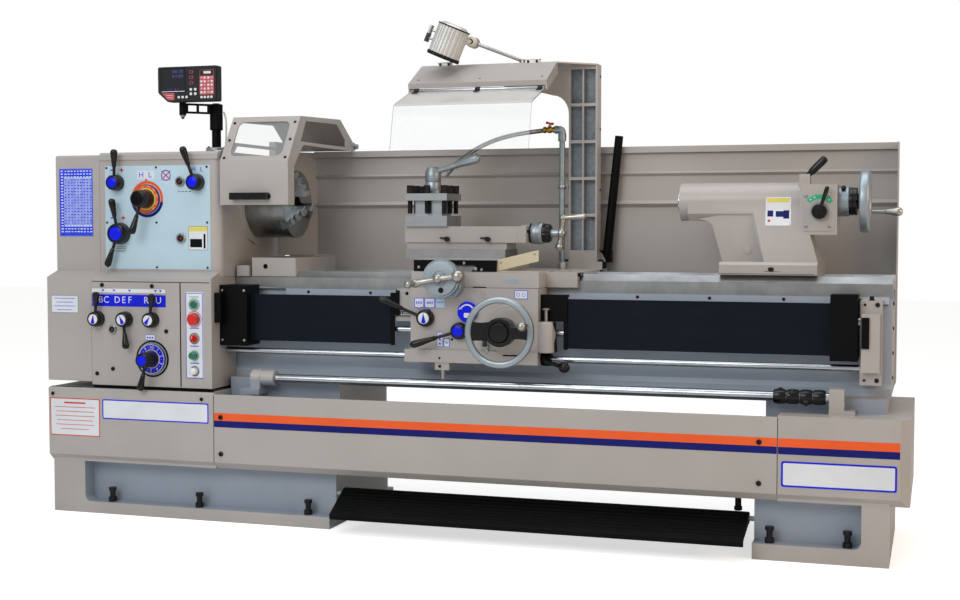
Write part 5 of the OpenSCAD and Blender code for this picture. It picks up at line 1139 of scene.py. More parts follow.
addTurned(tailWheel, np.array([tx, 0, tz]) + 87 * out, toRight, [
    (86, 9), (96, 9), (98, 6), (146, 6), (147, 8), (150, 8.8), (164, 10), (176, 13), (186, 14.8), (194, 13.5), (200, 9),
    (202, 0)], "satinChrome", 32)
finishPart(tailWheel, "TailstockWheel", "tailstock_wheel", bevel=0.8, segments=1,
           replaces=("tailstock_wheel",))

# tailstock levers: the quill's lock on the front and the clamp on top
quillLock = newPart()
addTurned(quillLock, (2073, -61, 1096), toFront, [(0, 9.9), (20, 9.9)], "groundShaft", 24)
addTurned(quillLock, (2073, -80.3, 1096), toFront, [
    (0, 24), (1.5, 25), (14, 25), (16, 23.5), (18, 25), (27, 24.4), (29.7, 22), (30, 15.5), (33, 15), (35.7, 13),
    (35.7, 0)], "phenolic", 48)
addGrip(quillLock, (2076, -97, 1107), (2099.6, -108.2, 1177.5), [7.5, 6.2, 5.8, 6.0, 6.4, 7.2, 7.4, 7], "phenolic")
finishPart(quillLock, "QuillLockLever", "quill_lock_lever", replaces=("quill_lock_lever",))
tailClamp = newPart()
addTurned(tailClamp, (2020, -2.3, 1208), toFront, [
    (0, 12), (1.5, 13), (10, 13), (12, 12.2), (14, 13), (23, 12.6), (25.4, 10.5), (25.4, 0)], "phenolic", 36)
addGrip(tailClamp, (2026, -15, 1214), (2087, -15, 1275), [8.5, 9, 12.4, 12.8, 13, 13, 13, 12.8], "phenolic", 28)
finishPart(tailClamp, "TailstockClampLever", "tailstock_clamp_lever",
           replaces=("tailstock_clamp_lever",))

# lead screw with its thread, plain journals at both ends
screw = newPart()
addThread(screw, (26, -235, 745), toRight, 2180, 18, 8, 2.2, "groundShaft", 20, 6)
addTurned(screw, (-14, -235, 745), toRight, [(0, 15), (2, 16), (41, 16)], "groundShaft", 28)
addTurned(screw, (2205, -235, 745), toRight, [(0, 16), (58, 16), (60, 15)], "groundShaft", 28)
finishPart(screw, "LeadScrew", "lead_screw", smooth=50, replaces=("lead_screw",))

# control lever at the apron's right
control = newPart()
addTurned(control, (1180.3, -250, 602), toRight, [
    (0, 21), (1.5, 23), (14, 23), (16, 21.5), (18, 23), (31, 22.4), (34, 20), (34, 11.2)], "blackEnamel", 44)
addGrip(control, (1198, -266, 596), (1256, -286, 582), [9.5, 7.4, 6.8, 6.8, 7.2], "blackenedSteel")
addTurned(control, (1250, -283.5, 583.6), (58, -20, -14), [
    (-4, 7.6), (0, 8.5), (2, 10.5), (7, 14.5), (15, 17.6), (24, 17.6), (32, 13.6), (37, 7.0),
    (38.6, 0)], "phenolic", 32)
finishPart(control, "ControlLever", "control_lever", replaces=("control_lever",))

# feed select knob: a blue disc with the white sweep arrow of its two settings
selectKnob = newPart()
addTurned(selectKnob, (935, -300.3, 759), toFront, [(0, 34), (1, 35), (9, 35), (11.7, 33), (11.7, 0)], "blueAbs", 56)
signs = [arcBand(935, 759, 27, 22, 25, 155, 16)]
signs += [np.array([(side * 30, 6), (side * 17, 8), (side * 24, 16)], float) + (935, 761) for side in (-1, 1)]
signs += [roundRect(924, 946, 740, 756, 3)]
for outline in signs:
    addPlate(selectKnob, outline, "y", -312.2, -311.6, "whiteAbs")
finishPart(selectKnob, "FeedSelectKnob", "feed_select_knob", replaces=("feed_select_knob",))

pump = newPart()
addTurned(pump, (1204, -284, 693), toTop, [
    (0, 6), (74, 6), (76, 9), (76.5, 12.4), (78, 13), (81, 12.6), (83.5, 8), (84, 0)], "satinChrome", 28)
finishPart(pump, "OilPumpPlunger", "oil_pump_plunger", replaces=("oil_pump_plunger",))
print("wheels, cranks and levers placed")


# roll-up screw covers

curtain = {"face": -260.5, "low": 640.0, "high": 806.0, "columns": 48, "rows": 12, "sag": 1.1}


def roundCorners(points, radius, closed=True, steps=5):
    # each corner p turned by a quadratic curve (1-t)^2 a + 2 t (1-t) p + t^2 b, a and b a radius away from it
    p = np.asarray(points, float)
    n = len(p)
    t = np.linspace(0, 1, steps)[:, None]
    line = []
    for i in range(n):
        if not closed and i in (0, n - 1):
            line.append(p[i:i + 1])
            continue
        before, after = p[i - 1] - p[i], p[(i + 1) % n] - p[i]
        reach = min(radius, np.linalg.norm(before) * 0.45, np.linalg.norm(after) * 0.45)
        a = p[i] + before / np.linalg.norm(before) * reach
        b = p[i] + after / np.linalg.norm(after) * reach
        line.append((1 - t) ** 2 * a + 2 * t * (1 - t) * p[i] + t ** 2 * b)
    return np.vstack(line)


def addSquareBar(part, a, b, half, look, upright=toTop):
    # a bar of rectangular section from a to b: half its width across, half its height along upright
    a, b = np.asarray(a, float), np.asarray(b, float)
    up = np.asarray(upright, float)
    across = np.cross(b - a, up)
    across = across / np.linalg.norm(across) * half[0]
    up = up / np.linalg.norm(up) * half[1]
    ring = np.array([-across - up, across - up, across + up, -across + up])
    addGrid(part, np.stack([a + ring, b + ring]), look, closeCols=True, capStart=True, capEnd=True)


for name, node, x0, x1, bodies in (
        ("LeftScrewCover", "left_screw_cover", 101.0, 640.0, ("machine", "carriage")),
        ("RightScrewCover", "right_screw_cover", 1272.0, bedEnd - 178, ("carriage", "machine"))):
    # cloth between its roller box and the carriage, flat at its edges:
    # y = face + sag sin(5 pi v) sin(pi u) (0.6 + 0.4 sin(9 pi u))
    u = np.linspace(0, 1, curtain["columns"])[None, :]
    v = np.linspace(0, 1, curtain["rows"])[:, None]
    ripple = curtain["sag"] * np.sin(5 * math.pi * v) * np.sin(math.pi * u) * (0.6 + 0.4 * np.sin(9 * math.pi * u))
    part = newPart()
    width, height = x1 - x0, curtain["high"] - curtain["low"]
    grid = np.stack([x0 + width * u + 0 * v, curtain["face"] + ripple, curtain["low"] + height * v + 0 * u], -1)
    addGrid(part, grid, "curtainCloth")
    cloth = finishPart(part, name, None, replaces=(node,), smooth=70)
    ends = inFrame([(x, curtain["face"], 723) for x in (x0, x1)])
    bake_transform(cloth)
print("screw covers hung")


# hood: window, lamp, coolant pipe

# the pane's ends in X, its thickness, and the height above which it carries a painted reflection
pane = {"left": 640, "right": 1137, "thick": 4.0, "smokedOver": 1466}
window = newPart()
bend = roundCorners([(-63, 1524), (-228, 1466), (-268, 1306)], 16, closed=False)
across = np.gradient(bend, axis=0)
across /= np.linalg.norm(across, axis=1)[:, None]
across = np.stack([-across[:, 1], across[:, 0]], -1) * pane["thick"] / 2
addPlate(window, np.vstack([bend + across, (bend - across)[::-1]]), "x", pane["left"], pane["right"], "clearAcrylic")
window["looks"][-2:] = ["acrylicEdge"] * 2
window["looks"][len(bend) - 1] = "acrylicEdge"
# painted reflection: faces of the pane's upper slope, above this height, take the pale copy
for i in np.flatnonzero(bend[:, 1] > pane["smokedOver"]):
    for k in (i, 2 * len(bend) - 2 - i):
        window["looks"][k] = "smokedAcrylic"
addTurned(window, (640, -60, 1528), toRight, [(0, 6.5), (1, 7), (496, 7), (497, 6.5)], "turnedSteel", 24)
for x in (664, 893, 1121):
    addTurned(window, (x - 9, -60, 1528), toRight, [(0, 8), (1, 9.5), (17, 9.5), (18, 8)], "blackenedSteel", 24)
    addSquareBar(window, (x, -64, 1524.5), (x, -88, 1516), (9, 3.4), "blackenedSteel", (0, -0.33, 0.94))
finishPart(window, "ShieldWindow", "shield_window", replaces=("shield_window",))

hoodTrim = newPart()
for x in (664, 893, 1121):
    addTurned(hoodTrim, (x, -41, 1566.2), (0, -0.474, 0.880), [
        (-1, 6.5), (1.2, 6.4), (3.0, 4.6), (3.4, 2.6), (1.6, 2.4), (1.6, 0)], "blackenedSteel", 20)
for x in (722, 1054):
    addPlate(hoodTrim, roundRect(x - 29, x + 29, 72.5, 89.5, 3), "z", 1641.2, 1643.4, "satinChrome")
    for dx in (-16, 16):
        addTurned(hoodTrim, (x + dx, 72.2, 1636), toFront, [
            (0, 4.6), (1.6, 4.4), (2.6, 2.8), (2.6, 0)], "blackenedSteel", 16)
# small screws down the column's right face and on its foot
for z in (960, 1180, 1400, 1590):
    addTurned(hoodTrim, (1265, 236, z), toRight, [(-0.3, 5), (1.2, 4.8), (2.6, 3.2), (2.6, 0)], "blackenedSteel", 16)
for x in (1146, 1276):
    addTurned(hoodTrim, (x, 215, 919), toTop, [
        (-0.4, 9), (7, 9), (8, 8), (8, 4.6), (3, 4.4), (3, 0)], "blackenedSteel", 20)
finishPart(hoodTrim, "HoodFittings", "carriage", bevel=0.3, segments=1)

lamp = newPart()
axis = np.array([46, 0, 108]) / math.hypot(46, 108)
backEnd = np.array([786.0, -2.0, 1755.0])
frontEnd = backEnd - 104 * axis
addFluted(lamp, frontEnd + axis, axis, [(0, 57, 0), (0.5, 58, 2.2), (102, 58, 2.2), (102.5, 57, 0)], 22, "lampWhite")
rims = ((frontEnd - 12 * axis, [(0, 59, 1.6), (0.6, 60.5, 2.6), (12, 61, 2.6), (13, 60, 2.0), (13, 56, 0)]),
        (backEnd - 3 * axis, [(0, 58.6, 0), (0.4, 60, 2.4), (4.4, 60, 2.4), (5, 58, 1.5)]))
for start, stations in rims:
    addFluted(lamp, start, axis, stations, 22, "blackenedSteel", power=4)
addTurned(lamp, backEnd + 1.5 * axis, axis, [(0, 52), (3, 50), (9, 42), (9.6, 38), (9.6, 0)], "lampWhite", 56)
addTurned(lamp, frontEnd - 12.2 * axis, -axis, [
    (-3, 55), (-0.4, 55), (0, 54), (0, 50), (-2.4, 49), (-2.4, 0)], "blackenedSteel", 56)
addTurned(lamp, frontEnd - 9.6 * axis, -axis, [(0, 49), (1.4, 44), (2.2, 24), (2.4, 0)], "screenGlass", 56)
# bail handle on its two posts
side = np.array([axis[2], 0, -axis[0]])
bailRoot = backEnd - 52 * axis - 82 * side
for along in (-15, 15):
    addTurned(lamp, bailRoot + along * axis, side, [(0, 4), (27, 4)], "satinChrome", 16)
addSquareBar(lamp, bailRoot - 31 * axis, bailRoot + 1 * axis, (13, 4.5), "phenolic", (side[0], 0, side[2]))
addSquareBar(lamp, bailRoot + 1 * axis, bailRoot + 31 * axis, (12, 4), "corrugatedSteel", (side[0], 0, side[2]))
# ball knuckle with its black socket screw, and the neck to the can
addTurned(lamp, (834, 59.7, 1709), toFront, [
    (0, 18.4), (1, 19.4), (14, 19.6), (20, 17), (23.4, 12), (23.6, 9.4), (21.4, 9), (21.4, 0)], "creamPlastic", 40)
addTurned(lamp, (834, 38.4, 1709), toFront, [(0, 8.8), (1.6, 8.6), (1.8, 5), (0.4, 4.6), (0.4, 0)], "phenolic", 24)
addTurned(lamp, (834, 77, 1709), toFront, [(0, 7.9), (18, 7.9)], "satinChrome", 20)
addGrip(lamp, (834, 48, 1709), (792, 17, 1705), [11, 10.4, 10, 10, 10.4], "creamPlastic")
finishPart(lamp, "LampHead", "lamp_head", smooth=30, replaces=("lamp_head",))

coolant = newPart()
qx, qy = 1140.0, 168.0
addTurned(coolant, (qx, qy, 893), toTop, [(0, 10.5), (488, 10.5)], "galvanisedPipe", 28)
addTurned(coolant, (qx, qy, 893), toTop, [(0, 17), (20, 17), (23, 15), (24, 12)], "turnedSteel", 6)
addTurned(coolant, (qx, qy, 1355), toTop, [(0, 13), (1, 15), (27, 15), (28, 13.4)], "galvanisedPipe", 28)
elbow = [(qx, qy, 1372), (qx, qy, 1386), (qx - 2.6, qy, 1393.6), (qx - 10, qy, 1397), (qx - 26, qy, 1397)]
addTube(coolant, smoothPath(elbow, 5), 13.2, "galvanisedPipe", 24, upright=toBack)
addTurned(coolant, (qx - 24, qy, 1397), toLeft, [(-8, 13.4), (-7, 15), (1, 15), (2, 13.4)], "galvanisedPipe", 28)
addTurned(coolant, (qx - 24, qy, 1397), toLeft, [
    (0, 12), (8, 12), (9, 9.5), (14, 9.5), (17, 12.4), (28, 12.4), (31, 9.5), (36, 9.5), (37, 12), (45, 12),
    (45, 8)], "brass", 24)
addTurned(coolant, (qx - 46, qy, 1407), toTop, [(0, 6.5), (5, 6.5), (6, 4), (13, 4), (14, 3)], "brass", 20)
for reach in (-15, 15):
    tip = (qx - 46 + reach, qy - 3, 1421 - reach * 0.2)
    addGrip(coolant, (qx - 46, qy, 1419.5), tip, [4, 4, 4.6, 5.2], "redAbs", 16)
# hose: falls away as -35 u - 92 u^3, with rolled rings every 4 mm
u = np.linspace(0, 1, 372)
hose = np.stack([qx - 70 - 340 * u, qy - 18 * u, 1395 - 35 * u - 92 * u ** 3], -1)
addTube(coolant, hose, 8.1 + 0.75 * np.sin(tau * 93 * u), "corrugatedSteel", 20, upright=toBack)
tip = hose[-1]
way = np.array([-36, 0, -44]) / math.hypot(36, 44)
addTurned(coolant, tip - 12 * way, way, [
    (0, 9), (1, 10.6), (16, 10.6), (18, 9), (22, 8.6), (48, 6.6), (57, 6.4), (57, 4.4), (50, 4.2),
    (50, 0)], "satinChrome", 24)
addTorus(coolant, (qx, qy, 1190), toTop, 11.6, 3.0, "turnedSteel", 36, 12, 2.6)
addBlock(coolant, 1137.5, 1158.6, 176, 201.5, 1181.5, 1198.5, "turnedSteel")
finishPart(coolant, "CoolantPipe", "carriage", bevel=0.4, segments=1, smooth=40, replaces=("coolant_pipe",))


# the guard's slanted front starts at this place and runs up and back along this direction in Y and Z
slant = {"y": -300, "z": 1278, "back": 0.549, "up": 0.836}


def guardDepth(p):
    # distance inwards from the outer face of the guard's slanted front
    return (p[1] - slant["y"]) * slant["up"] - (p[2] - slant["z"]) * slant["back"]


def guardPane(p, n):
    # a test for dressNode: the clear pane's back and rims, and its front between the frame's edges
    depth, facing = guardDepth(p), n[1] * slant["up"] - n[2] * slant["back"]
    inside = (depth > 4.4) & (depth < 7.4) & (p[0] > 18) & (p[0] < 258)
    return (p[2] > 1282) & (p[2] < 1436) & (inside | (abs(depth - 4) < 0.4) & (facing < -0.7))


dressNode("chuck_guard", "enamelOnSheet", 1.0, [
    (guardPane, "clearAcrylic"),
    (faceTest(y=(-9e3, -300.6), z=(1140, 1167)), "phenolic"),
])
guardTrim = newPart()
for x in (19, 257):
    for along in (14, 92, 168):
        place = np.array([x, slant["y"] + slant["back"] * along, slant["z"] + slant["up"] * along])
        addTurned(guardTrim, place, (0, -slant["up"], slant["back"]), [
            (-0.4, 5.4), (1.4, 5.2), (2.8, 3.6), (2.8, 1.8), (1.6, 1.6), (1.6, 0)], "blackenedSteel", 18)
for x in (66, 193):
    addTurned(guardTrim, (x, -300, 1153.5), toFront, [(-0.2, 11), (2.2, 11), (3, 10), (3, 0)], "phenolic", 24)
finishPart(guardTrim, "ChuckGuardFittings", "chuck_guard")
print("hood, window, lamp and coolant pipe placed")


# digital readout

readout = newPart()
post = np.array([-135.0, -60.0])
caseFace = -190.0
caseLine = roundCorners([(-306, 1632), (-306, 1538), (-265, 1503), (-62, 1503), (-62, 1632)], 7)
addPlate(readout, caseLine, "y", -186, -154, "mouldedCase")
frontLine = roundCorners([(-303.5, 1629.5), (-303.5, 1539), (-264, 1505.5), (-64.5, 1505.5), (-64.5, 1629.5)], 6)
addPlate(readout, frontLine, "y", caseFace, -185, "mouldedCase")
# the screen in its bevelled frame, with two rows of digits and a bright line under it
addLabel(readout, -293, -189, 1539, 1627, caseFace, "phenolic", lift=0.4, radius=2)
addLabel(readout, -289, -193, 1543, 1623, caseFace - 0.35, "screenGlass", lift=0.3, radius=1)
screenFace = caseFace - 0.75
for row, digits in enumerate(("000.120", "012.505")):
    addText(readout, digits, (-222, screenFace, 1613 - row * 17), 14, "screenDigits")
for x in (-262, -247, -232, -221):
    addRule(readout, x - 2.5, x + 2.5, 1550, 1.6, screenFace + 0.1, "screenDigits")
addRule(readout, -288, -194, 1541.4, 2.2, caseFace - 0.4, "whitePrint")
addWedge(readout, [(-288, 1536), (-240, 1536), (-236, 1532), (-236, 1514), (-240, 1510), (-262, 1510)], caseFace,
         "roseKey", 0.9)
for z in (1527, 1519):
    addRule(readout, -268, -243, z, 1.4, caseFace - 0.9, "whitePrint", 0.25)


def addKey(part, x, z, w, h, look, ring=None, lift=1.6):
    # a soft key with a crowned top, in a printed ring if it has one
    if ring:
        line = roundRect(x - w / 2 - 1.8, x + w / 2 + 1.8, z - h / 2 - 1.8, z + h / 2 + 1.8, 3)
        addPlate(part, line, "y", caseFace - 0.4, caseFace + 0.1, ring)
    base = roundRect(x - w / 2, x + w / 2, z - h / 2, z + h / 2, min(w, h) * 0.3)
    rows = [np.stack([x + (base[:, 0] - x) * k, np.full(len(base), caseFace - d), z + (base[:, 1] - z) * k], -1)
            for k, d in ((1, -0.1), (1, lift * 0.6), (0.9, lift), (0.5, lift * 1.15))]
    addGrid(part, np.stack(rows), look, closeCols=True, capStart=True, capEnd=True)


for z in (1611, 1591, 1571):
    addKey(readout, -166, z, 11, 7, "mouldedCase", "roseKey")
for x in (-168, -150):
    for z in (1547, 1531):
        addKey(readout, x, z, 10, 10, "whiteAbs")
for x in (-218, -202, -186):
    addKey(readout, x, 1520, 9, 9, "whiteAbs")
# rose line round the entry key, open to the field of keys below
for x0, x1 in ((-131, -129.8), (-76.2, -75)):
    addBlock(readout, x0, x1, caseFace - 0.35, caseFace + 0.1, 1593.5, 1616, "roseKey")
addRule(readout, -131, -75, 1616, 1.2, caseFace, "roseKey", 0.35)
addKey(readout, -101, 1607, 30, 9, "whiteAbs")
addLabel(readout, -132, -74, 1527, 1595, caseFace, "roseKey", lift=0.5, radius=2)
for row in range(5):
    for col in range(4):
        x, width = -124.5 + col * 13.5 + (0, 0, 1.5, 1.5)[col], (9, 7.5, 9, 9)[col]
        addKey(readout, x, 1588 - row * 13.2, width, 8.2, "whiteAbs" if (row + col) % 3 else "blushKey", lift=1.9)
for col in range(4):
    addKey(readout, -124.5 + col * 13.5, 1518, 9, 9, "whiteAbs")
for x, z in ((-297, 1624), (-71, 1624), (-71, 1511), (-262, 1509)):
    addTurned(readout, (x, caseFace, z), toFront, [
        (-0.1, 2.2), (0.5, 2.1), (0.5, 1.2), (0.1, 1.1), (0.1, 0)], "blackenedSteel", 12)
# ribbed back with its cable sockets
for x in range(-290, -74, 14):
    addBlock(readout, x, x + 5, -154.3, -152.6, 1545, 1622, "mouldedCase")
for x in (-250, -222):
    addTurned(readout, (x, -154, 1524), toBack, [
        (0, 9), (1.4, 9), (1.6, 7), (1.6, 5.4), (0.4, 5.2), (0.4, 0)], "turnedSteel", 20)
# arm: collar on the post, open frame, pivot with its tapered foot and knob
addTurned(readout, (*post, 1406), toTop, [
    (0, 22.5), (1.5, 24), (60, 24), (62, 22.6), (64, 24), (94.5, 24), (96, 22.5), (96, 17.3)], "blackEnamel", 44)
addTurned(readout, (*post, 1502), toTop, [(-3, 17), (0.5, 16.8), (3.5, 12), (4, 6), (4, 0)], "phenolic", 32)
reach = np.array([-math.cos(math.radians(43)), -math.sin(math.radians(43)), 0])


def alongArm(distance, z):
    return np.array([*post, z]) + reach * distance


for z in (1468.5, 1498.5):
    addSquareBar(readout, alongArm(18, z), alongArm(125, z), (8, 3.6), "blackEnamel")
for middle, half in ((26, 7), (70, 3.5), (115, 8)):
    addSquareBar(readout, alongArm(middle - half, 1483.5), alongArm(middle + half, 1483.5), (7.4, 16), "blackEnamel")
pivot = (-227, -146)
addTurned(readout, (*pivot, 1440), toTop, [(10, 5), (10, 6.4), (17, 11), (19, 11.4)], "satinChrome", 28)
addTurned(readout, (*pivot, 1440), toTop, [(4, 0), (4, 4), (5, 5.4), (11, 5.4)], "phenolic", 20)
addTurned(readout, (*pivot, 1458), toTop, [
    (0, 12), (1, 13), (44, 13), (46, 11.4), (50, 11.4), (52, 12.6), (64, 12.6), (66, 11)], "blackEnamel", 36)
addSquareBar(readout, (-227, -158, 1519), (-227, -152.5, 1540), (10, 4), "blackEnamel", (0, 0.97, 0.25))
addSquareBar(readout, (-227, -150, 1514), (-227, -160, 1530), (9, 6), "blackEnamel", (0, 0.85, 0.53))
finishPart(readout, "DigitalReadout", "readout", bevel=0.5, segments=1, replaces=("readout",))

cable = newPart()
route = [(-100, -50, 1340), (-101, -52, 1352), (-98, -54, 1376), (-96, -56, 1412), (-97, -56, 1446), (-103, -56, 1466),
         (-106, -56, 1474)]
addTube(cable, smoothPath(route, 8), 3.2, "creamPlastic", 12, upright=toBack)
addTurned(cable, (-100, -50, 1326), toTop, [(0, 10), (8, 10), (9, 8), (16, 7), (18, 4)], "phenolic", 20)
addTurned(cable, (post[0], post[1], 1318), toTop, [
    (0, 42), (9, 42), (12, 39), (21, 39), (22.4, 37.5), (22.4, 20)], "turnedSteel", 48)
for i in range(4):
    a = tau * (i + 0.5) / 4
    place = (post[0] + 30 * math.cos(a), post[1] + 30 * math.sin(a), 1340)
    addTurned(cable, place, toTop, [(-0.2, 5), (4, 5), (5, 4.2), (5, 2.4), (2, 2.2), (2, 0)], "blackenedSteel", 16)
finishPart(cable, "ReadoutCable", "machine")
print("readout placed")


# carriage: plates, plugs and small fittings

apronFace = -300.0
apronTrim = newPart()
for x0, x1 in ((742, 777), (779, 817)):
    addLabel(apronTrim, x0, x1, 770, 804, apronFace, "whitePrint", "bluePrint", 2.2, 0.5)
    mid = (x0 + x1) / 2
    addWedge(apronTrim, [(mid - 7, 771), (mid + 7, 771), (mid, 763)], apronFace, "bluePrint", 0.55)
    addWedge(apronTrim, [(mid - 3.6, 772), (mid + 3.6, 772), (mid, 767)], apronFace - 0.3, "whitePrint", 0.45)
    for k in (-9, -3, 3, 9):
        addBlock(apronTrim, mid + k - 1.6, mid + k + 1.6, apronFace - 1.1, apronFace - 0.4, 783, 792, "chartBlue")
addLabel(apronTrim, 819, 853, 770, 804, apronFace, "paleBluePrint", "chartBlue", 1.0, 0.5)
addRule(apronTrim, 824, 848, 790, 1.6, apronFace - 0.7, "chartBlue")
addLabel(apronTrim, 823, 846, 638, 689, apronFace, "whitePrint", "bluePrint", 1.8, 0.5)
addLabel(apronTrim, 848, 869, 638, 668, apronFace, "whitePrint", "bluePrint", 1.8, 0.5)
for z in (650, 664, 678):
    addWedge(apronTrim, [(829, z - 4), (840, z - 4), (834.5, z + 4)], apronFace - 0.7, "chartBlue", 0.35)
addTurned(apronTrim, (858.5, apronFace - 0.7, 653), toFront, [(0, 4), (0.4, 4), (0.4, 2.4), (0, 2.4)], "bluePrint", 20)
addLabel(apronTrim, 1099, 1145, 805, 834, apronFace, "whitePrint", "bluePrint", 2.0, 0.5)
for x in (1112, 1131):
    addTurned(apronTrim, (x, apronFace - 0.7, 820), toFront, [
        (0, 6.5), (0.35, 6.5), (0.35, 5), (0, 5)], "chartBlue", 24)
# round tapered reservoir of the oil pump, bored for its plunger
addTurned(apronTrim, (1204, -284, 627), toTop, [
    (0, 0), (0, 25.5), (3, 27.5), (60, 25.5), (97, 22.5), (102, 20), (103.5, 17), (103.5, 7), (60, 7),
    (60, 0)], "enamelOnCastIron", 40)
# plugs: flush discs with a ring line round them
for x, z, r in ((990, 815, 12), (1066, 765, 25)):
    addDisc(apronTrim, x, z, r, apronFace, "greyEnamel", 0.35, r - 1.4)
    addDisc(apronTrim, x, z, r - 1.4, apronFace, "enamelOnCastIron", 0.9)
for a in (0.3, 2.4, 4.5):
    addDisc(apronTrim, 990 + 6 * math.cos(a), 815 + 6 * math.sin(a), 1.3, apronFace - 0.9, "blackEnamel", 0.3)
# stepped boss with its ring lines behind the handwheel
addTurned(apronTrim, (1082, apronFace, 701), toFront, [
    (-0.2, 84), (5, 84), (7, 82), (7, 77), (6.2, 76.4), (6.2, 75.6), (7, 75), (8, 66), (8, 36)], "enamelOnCastIron", 64)
addTurned(apronTrim, (1082, apronFace - 40, 701), toFront, [
    (0, 35.4), (1, 42), (26, 42), (28, 40), (28, 16)], "turnedAluminium", 56)
addTicks(apronTrim, (1082, apronFace - 40, 701), toFront, 42, 2, 12, 60, "blackEnamel")
addRule(apronTrim, 950, 996, 839.5, 9, -290.4, "blackEnamel", 1.0)
addRule(apronTrim, 1059, 1132, 615.5, 5, -305, "blackEnamel", 0.6)
# painted shade: a black disc in the oil screw's hole
addTurned(apronTrim, (878, apronFace, 664), toFront, [(-0.2, 4), (0.8, 3.8), (0.8, 0)], "blackEnamel", 16)
# oil gauge: a glass between two rods over a drain screw
for x in (987, 1006):
    addTurned(apronTrim, (x, apronFace - 5, 642), toTop, [(0, 2.2), (34, 2.2)], "satinChrome", 14)
addTurned(apronTrim, (996.5, apronFace - 5, 644), toTop, [(0, 5), (30, 5)], "screenGlass", 18)
for z in (640, 674):
    addBlock(apronTrim, 982, 1011, apronFace - 10, apronFace + 0.2, z - 3, z + 3, "satinChrome")
addTurned(apronTrim, (1000, apronFace, 628), toFront, [
    (-0.2, 10), (5, 10), (6.5, 8.5), (6.5, 4.4), (3.5, 4), (3.5, 0)], "turnedSteel", 6)
# gear case on the left: a black disc of painted shade in its screw hole, and two cover screws
addTurned(apronTrim, (698, -255.2, 816), toFront, [(-0.2, 6), (0.6, 5.8), (0.6, 0)], "blackEnamel", 20)
for x, z in ((668, 822), (719, 730)):
    addTurned(apronTrim, (x, -255, z), toFront, [
        (-0.2, 4.6), (1.8, 4.4), (2.4, 3.4), (2.4, 1.8), (1.2, 1.6), (1.2, 0)], "blackenedSteel", 16)
# rod and hinge pins at the finger of the stop bar
for z in (572, 600):
    addTurned(apronTrim, (834, -302, z), toFront, [(-0.2, 5), (2.6, 4.8), (3.4, 3.4), (3.4, 0)], "blackenedSteel", 16)
finishPart(apronTrim, "ApronFittings", "carriage", bevel=0.25, segments=1)

saddleTrim = newPart()
addLabel(saddleTrim, 1060, 1110, 857, 871, -290.0, "turnedAluminium", lift=0.6, radius=4)
for k in range(6):
    addBlock(saddleTrim, 1068 + 6 * k, 1070.6 + 6 * k, -290.9, -290.5, 861.5, 866.5, "greyEnamel")
# bearing flange of the cross feed screw, low behind the drum
addTurned(saddleTrim, (880, -325, 846), toFront, [
    (-36, 40), (-2, 40), (0, 42), (14, 42), (16, 40), (16, 12)], "turnedAluminium", 48)
# terminal block with four holes and the black carrier beside it
addBlock(saddleTrim, 977, 999, -246, -200.5, 893.2, 930, "enamelOnSheet")
for x in (983, 993):
    for z in (903, 911, 920):
        addTurned(saddleTrim, (x, -246, z), toFront, [(-0.1, 2.2), (0.3, 2.1), (0.3, 0)], "blackEnamel", 12)
addBlock(saddleTrim, 1000, 1019, -244, -200.5, 893.2, 933, "blackEnamel")
# bent sheet guard over the screw cover: its front edge climbs to the right
guardSheet = [(1021, 896), (1021, 934), (1166, 968), (1166, 930)]
addPlate(saddleTrim, roundCorners(guardSheet, 3), "y", -243, -240.4, "creamEnamel")
addBlock(saddleTrim, 1021, 1166, -243, -206, 893.2, 895.4, "creamEnamel")
for x, z in ((1034, 925), (1152, 955)):
    addTurned(saddleTrim, (x, -243, z), toFront, [(-0.1, 4), (1.4, 3.8), (2.2, 2.6), (2.2, 0)], "satinChrome", 16)
# way wipers with their plates and screws at the saddle's four corners
for x, way in ((715, -1), (1289, 1)):
    for y in (-178, 150):
        x0, x1 = sorted((x, x + 9 * way))
        addBlock(saddleTrim, x0, x1, y - 12, y + 30, 879.6, 890, "blackEnamel")
        for dy in (-4, 22):
            addTurned(saddleTrim, (x + 9 * way, y + dy, 885), (way, 0, 0), [
                (-0.1, 3.4), (1.4, 3.2), (2, 2), (2, 0)], "satinChrome", 14)
# oil nipples on the saddle wings
for x in (742, 1196, 1262):
    addTurned(saddleTrim, (x, -186, 893), toTop, [
        (-0.1, 6), (1.2, 6), (2, 4.6), (2, 2.6), (0.8, 2.2), (0.8, 0)], "brass", 20)
finishPart(saddleTrim, "SaddleFittings", "carriage", bevel=0.5, segments=1)

slideTrim = newPart()
for x, z in ((741, 907), (905, 922), (968, 900)):
    addTurned(slideTrim, (x, -252.9, z), toFront, [
        (-0.1, 5.2), (2.2, 5.0), (3.4, 3.6), (3.4, 2.0), (2.0, 1.8), (2.0, 0)], "satinChrome", 18)
addTurned(slideTrim, (946, -252.9, 903), toFront, [(-0.1, 6.2), (1.6, 6), (2.4, 4.6), (2.4, 0)], "greyEnamel", 18)
for y in (-200, -120, 60, 150, 210):
    addTurned(slideTrim, (1010, y, 914), toRight, [
        (-8, 5), (3, 5), (4, 4.2), (4, 2.4), (1.6, 2.2), (1.6, 0)], "blackenedSteel", 18)
finishPart(slideTrim, "CrossSlideFittings", "cross_slide")
print("carriage fittings placed")


# tailstock fittings

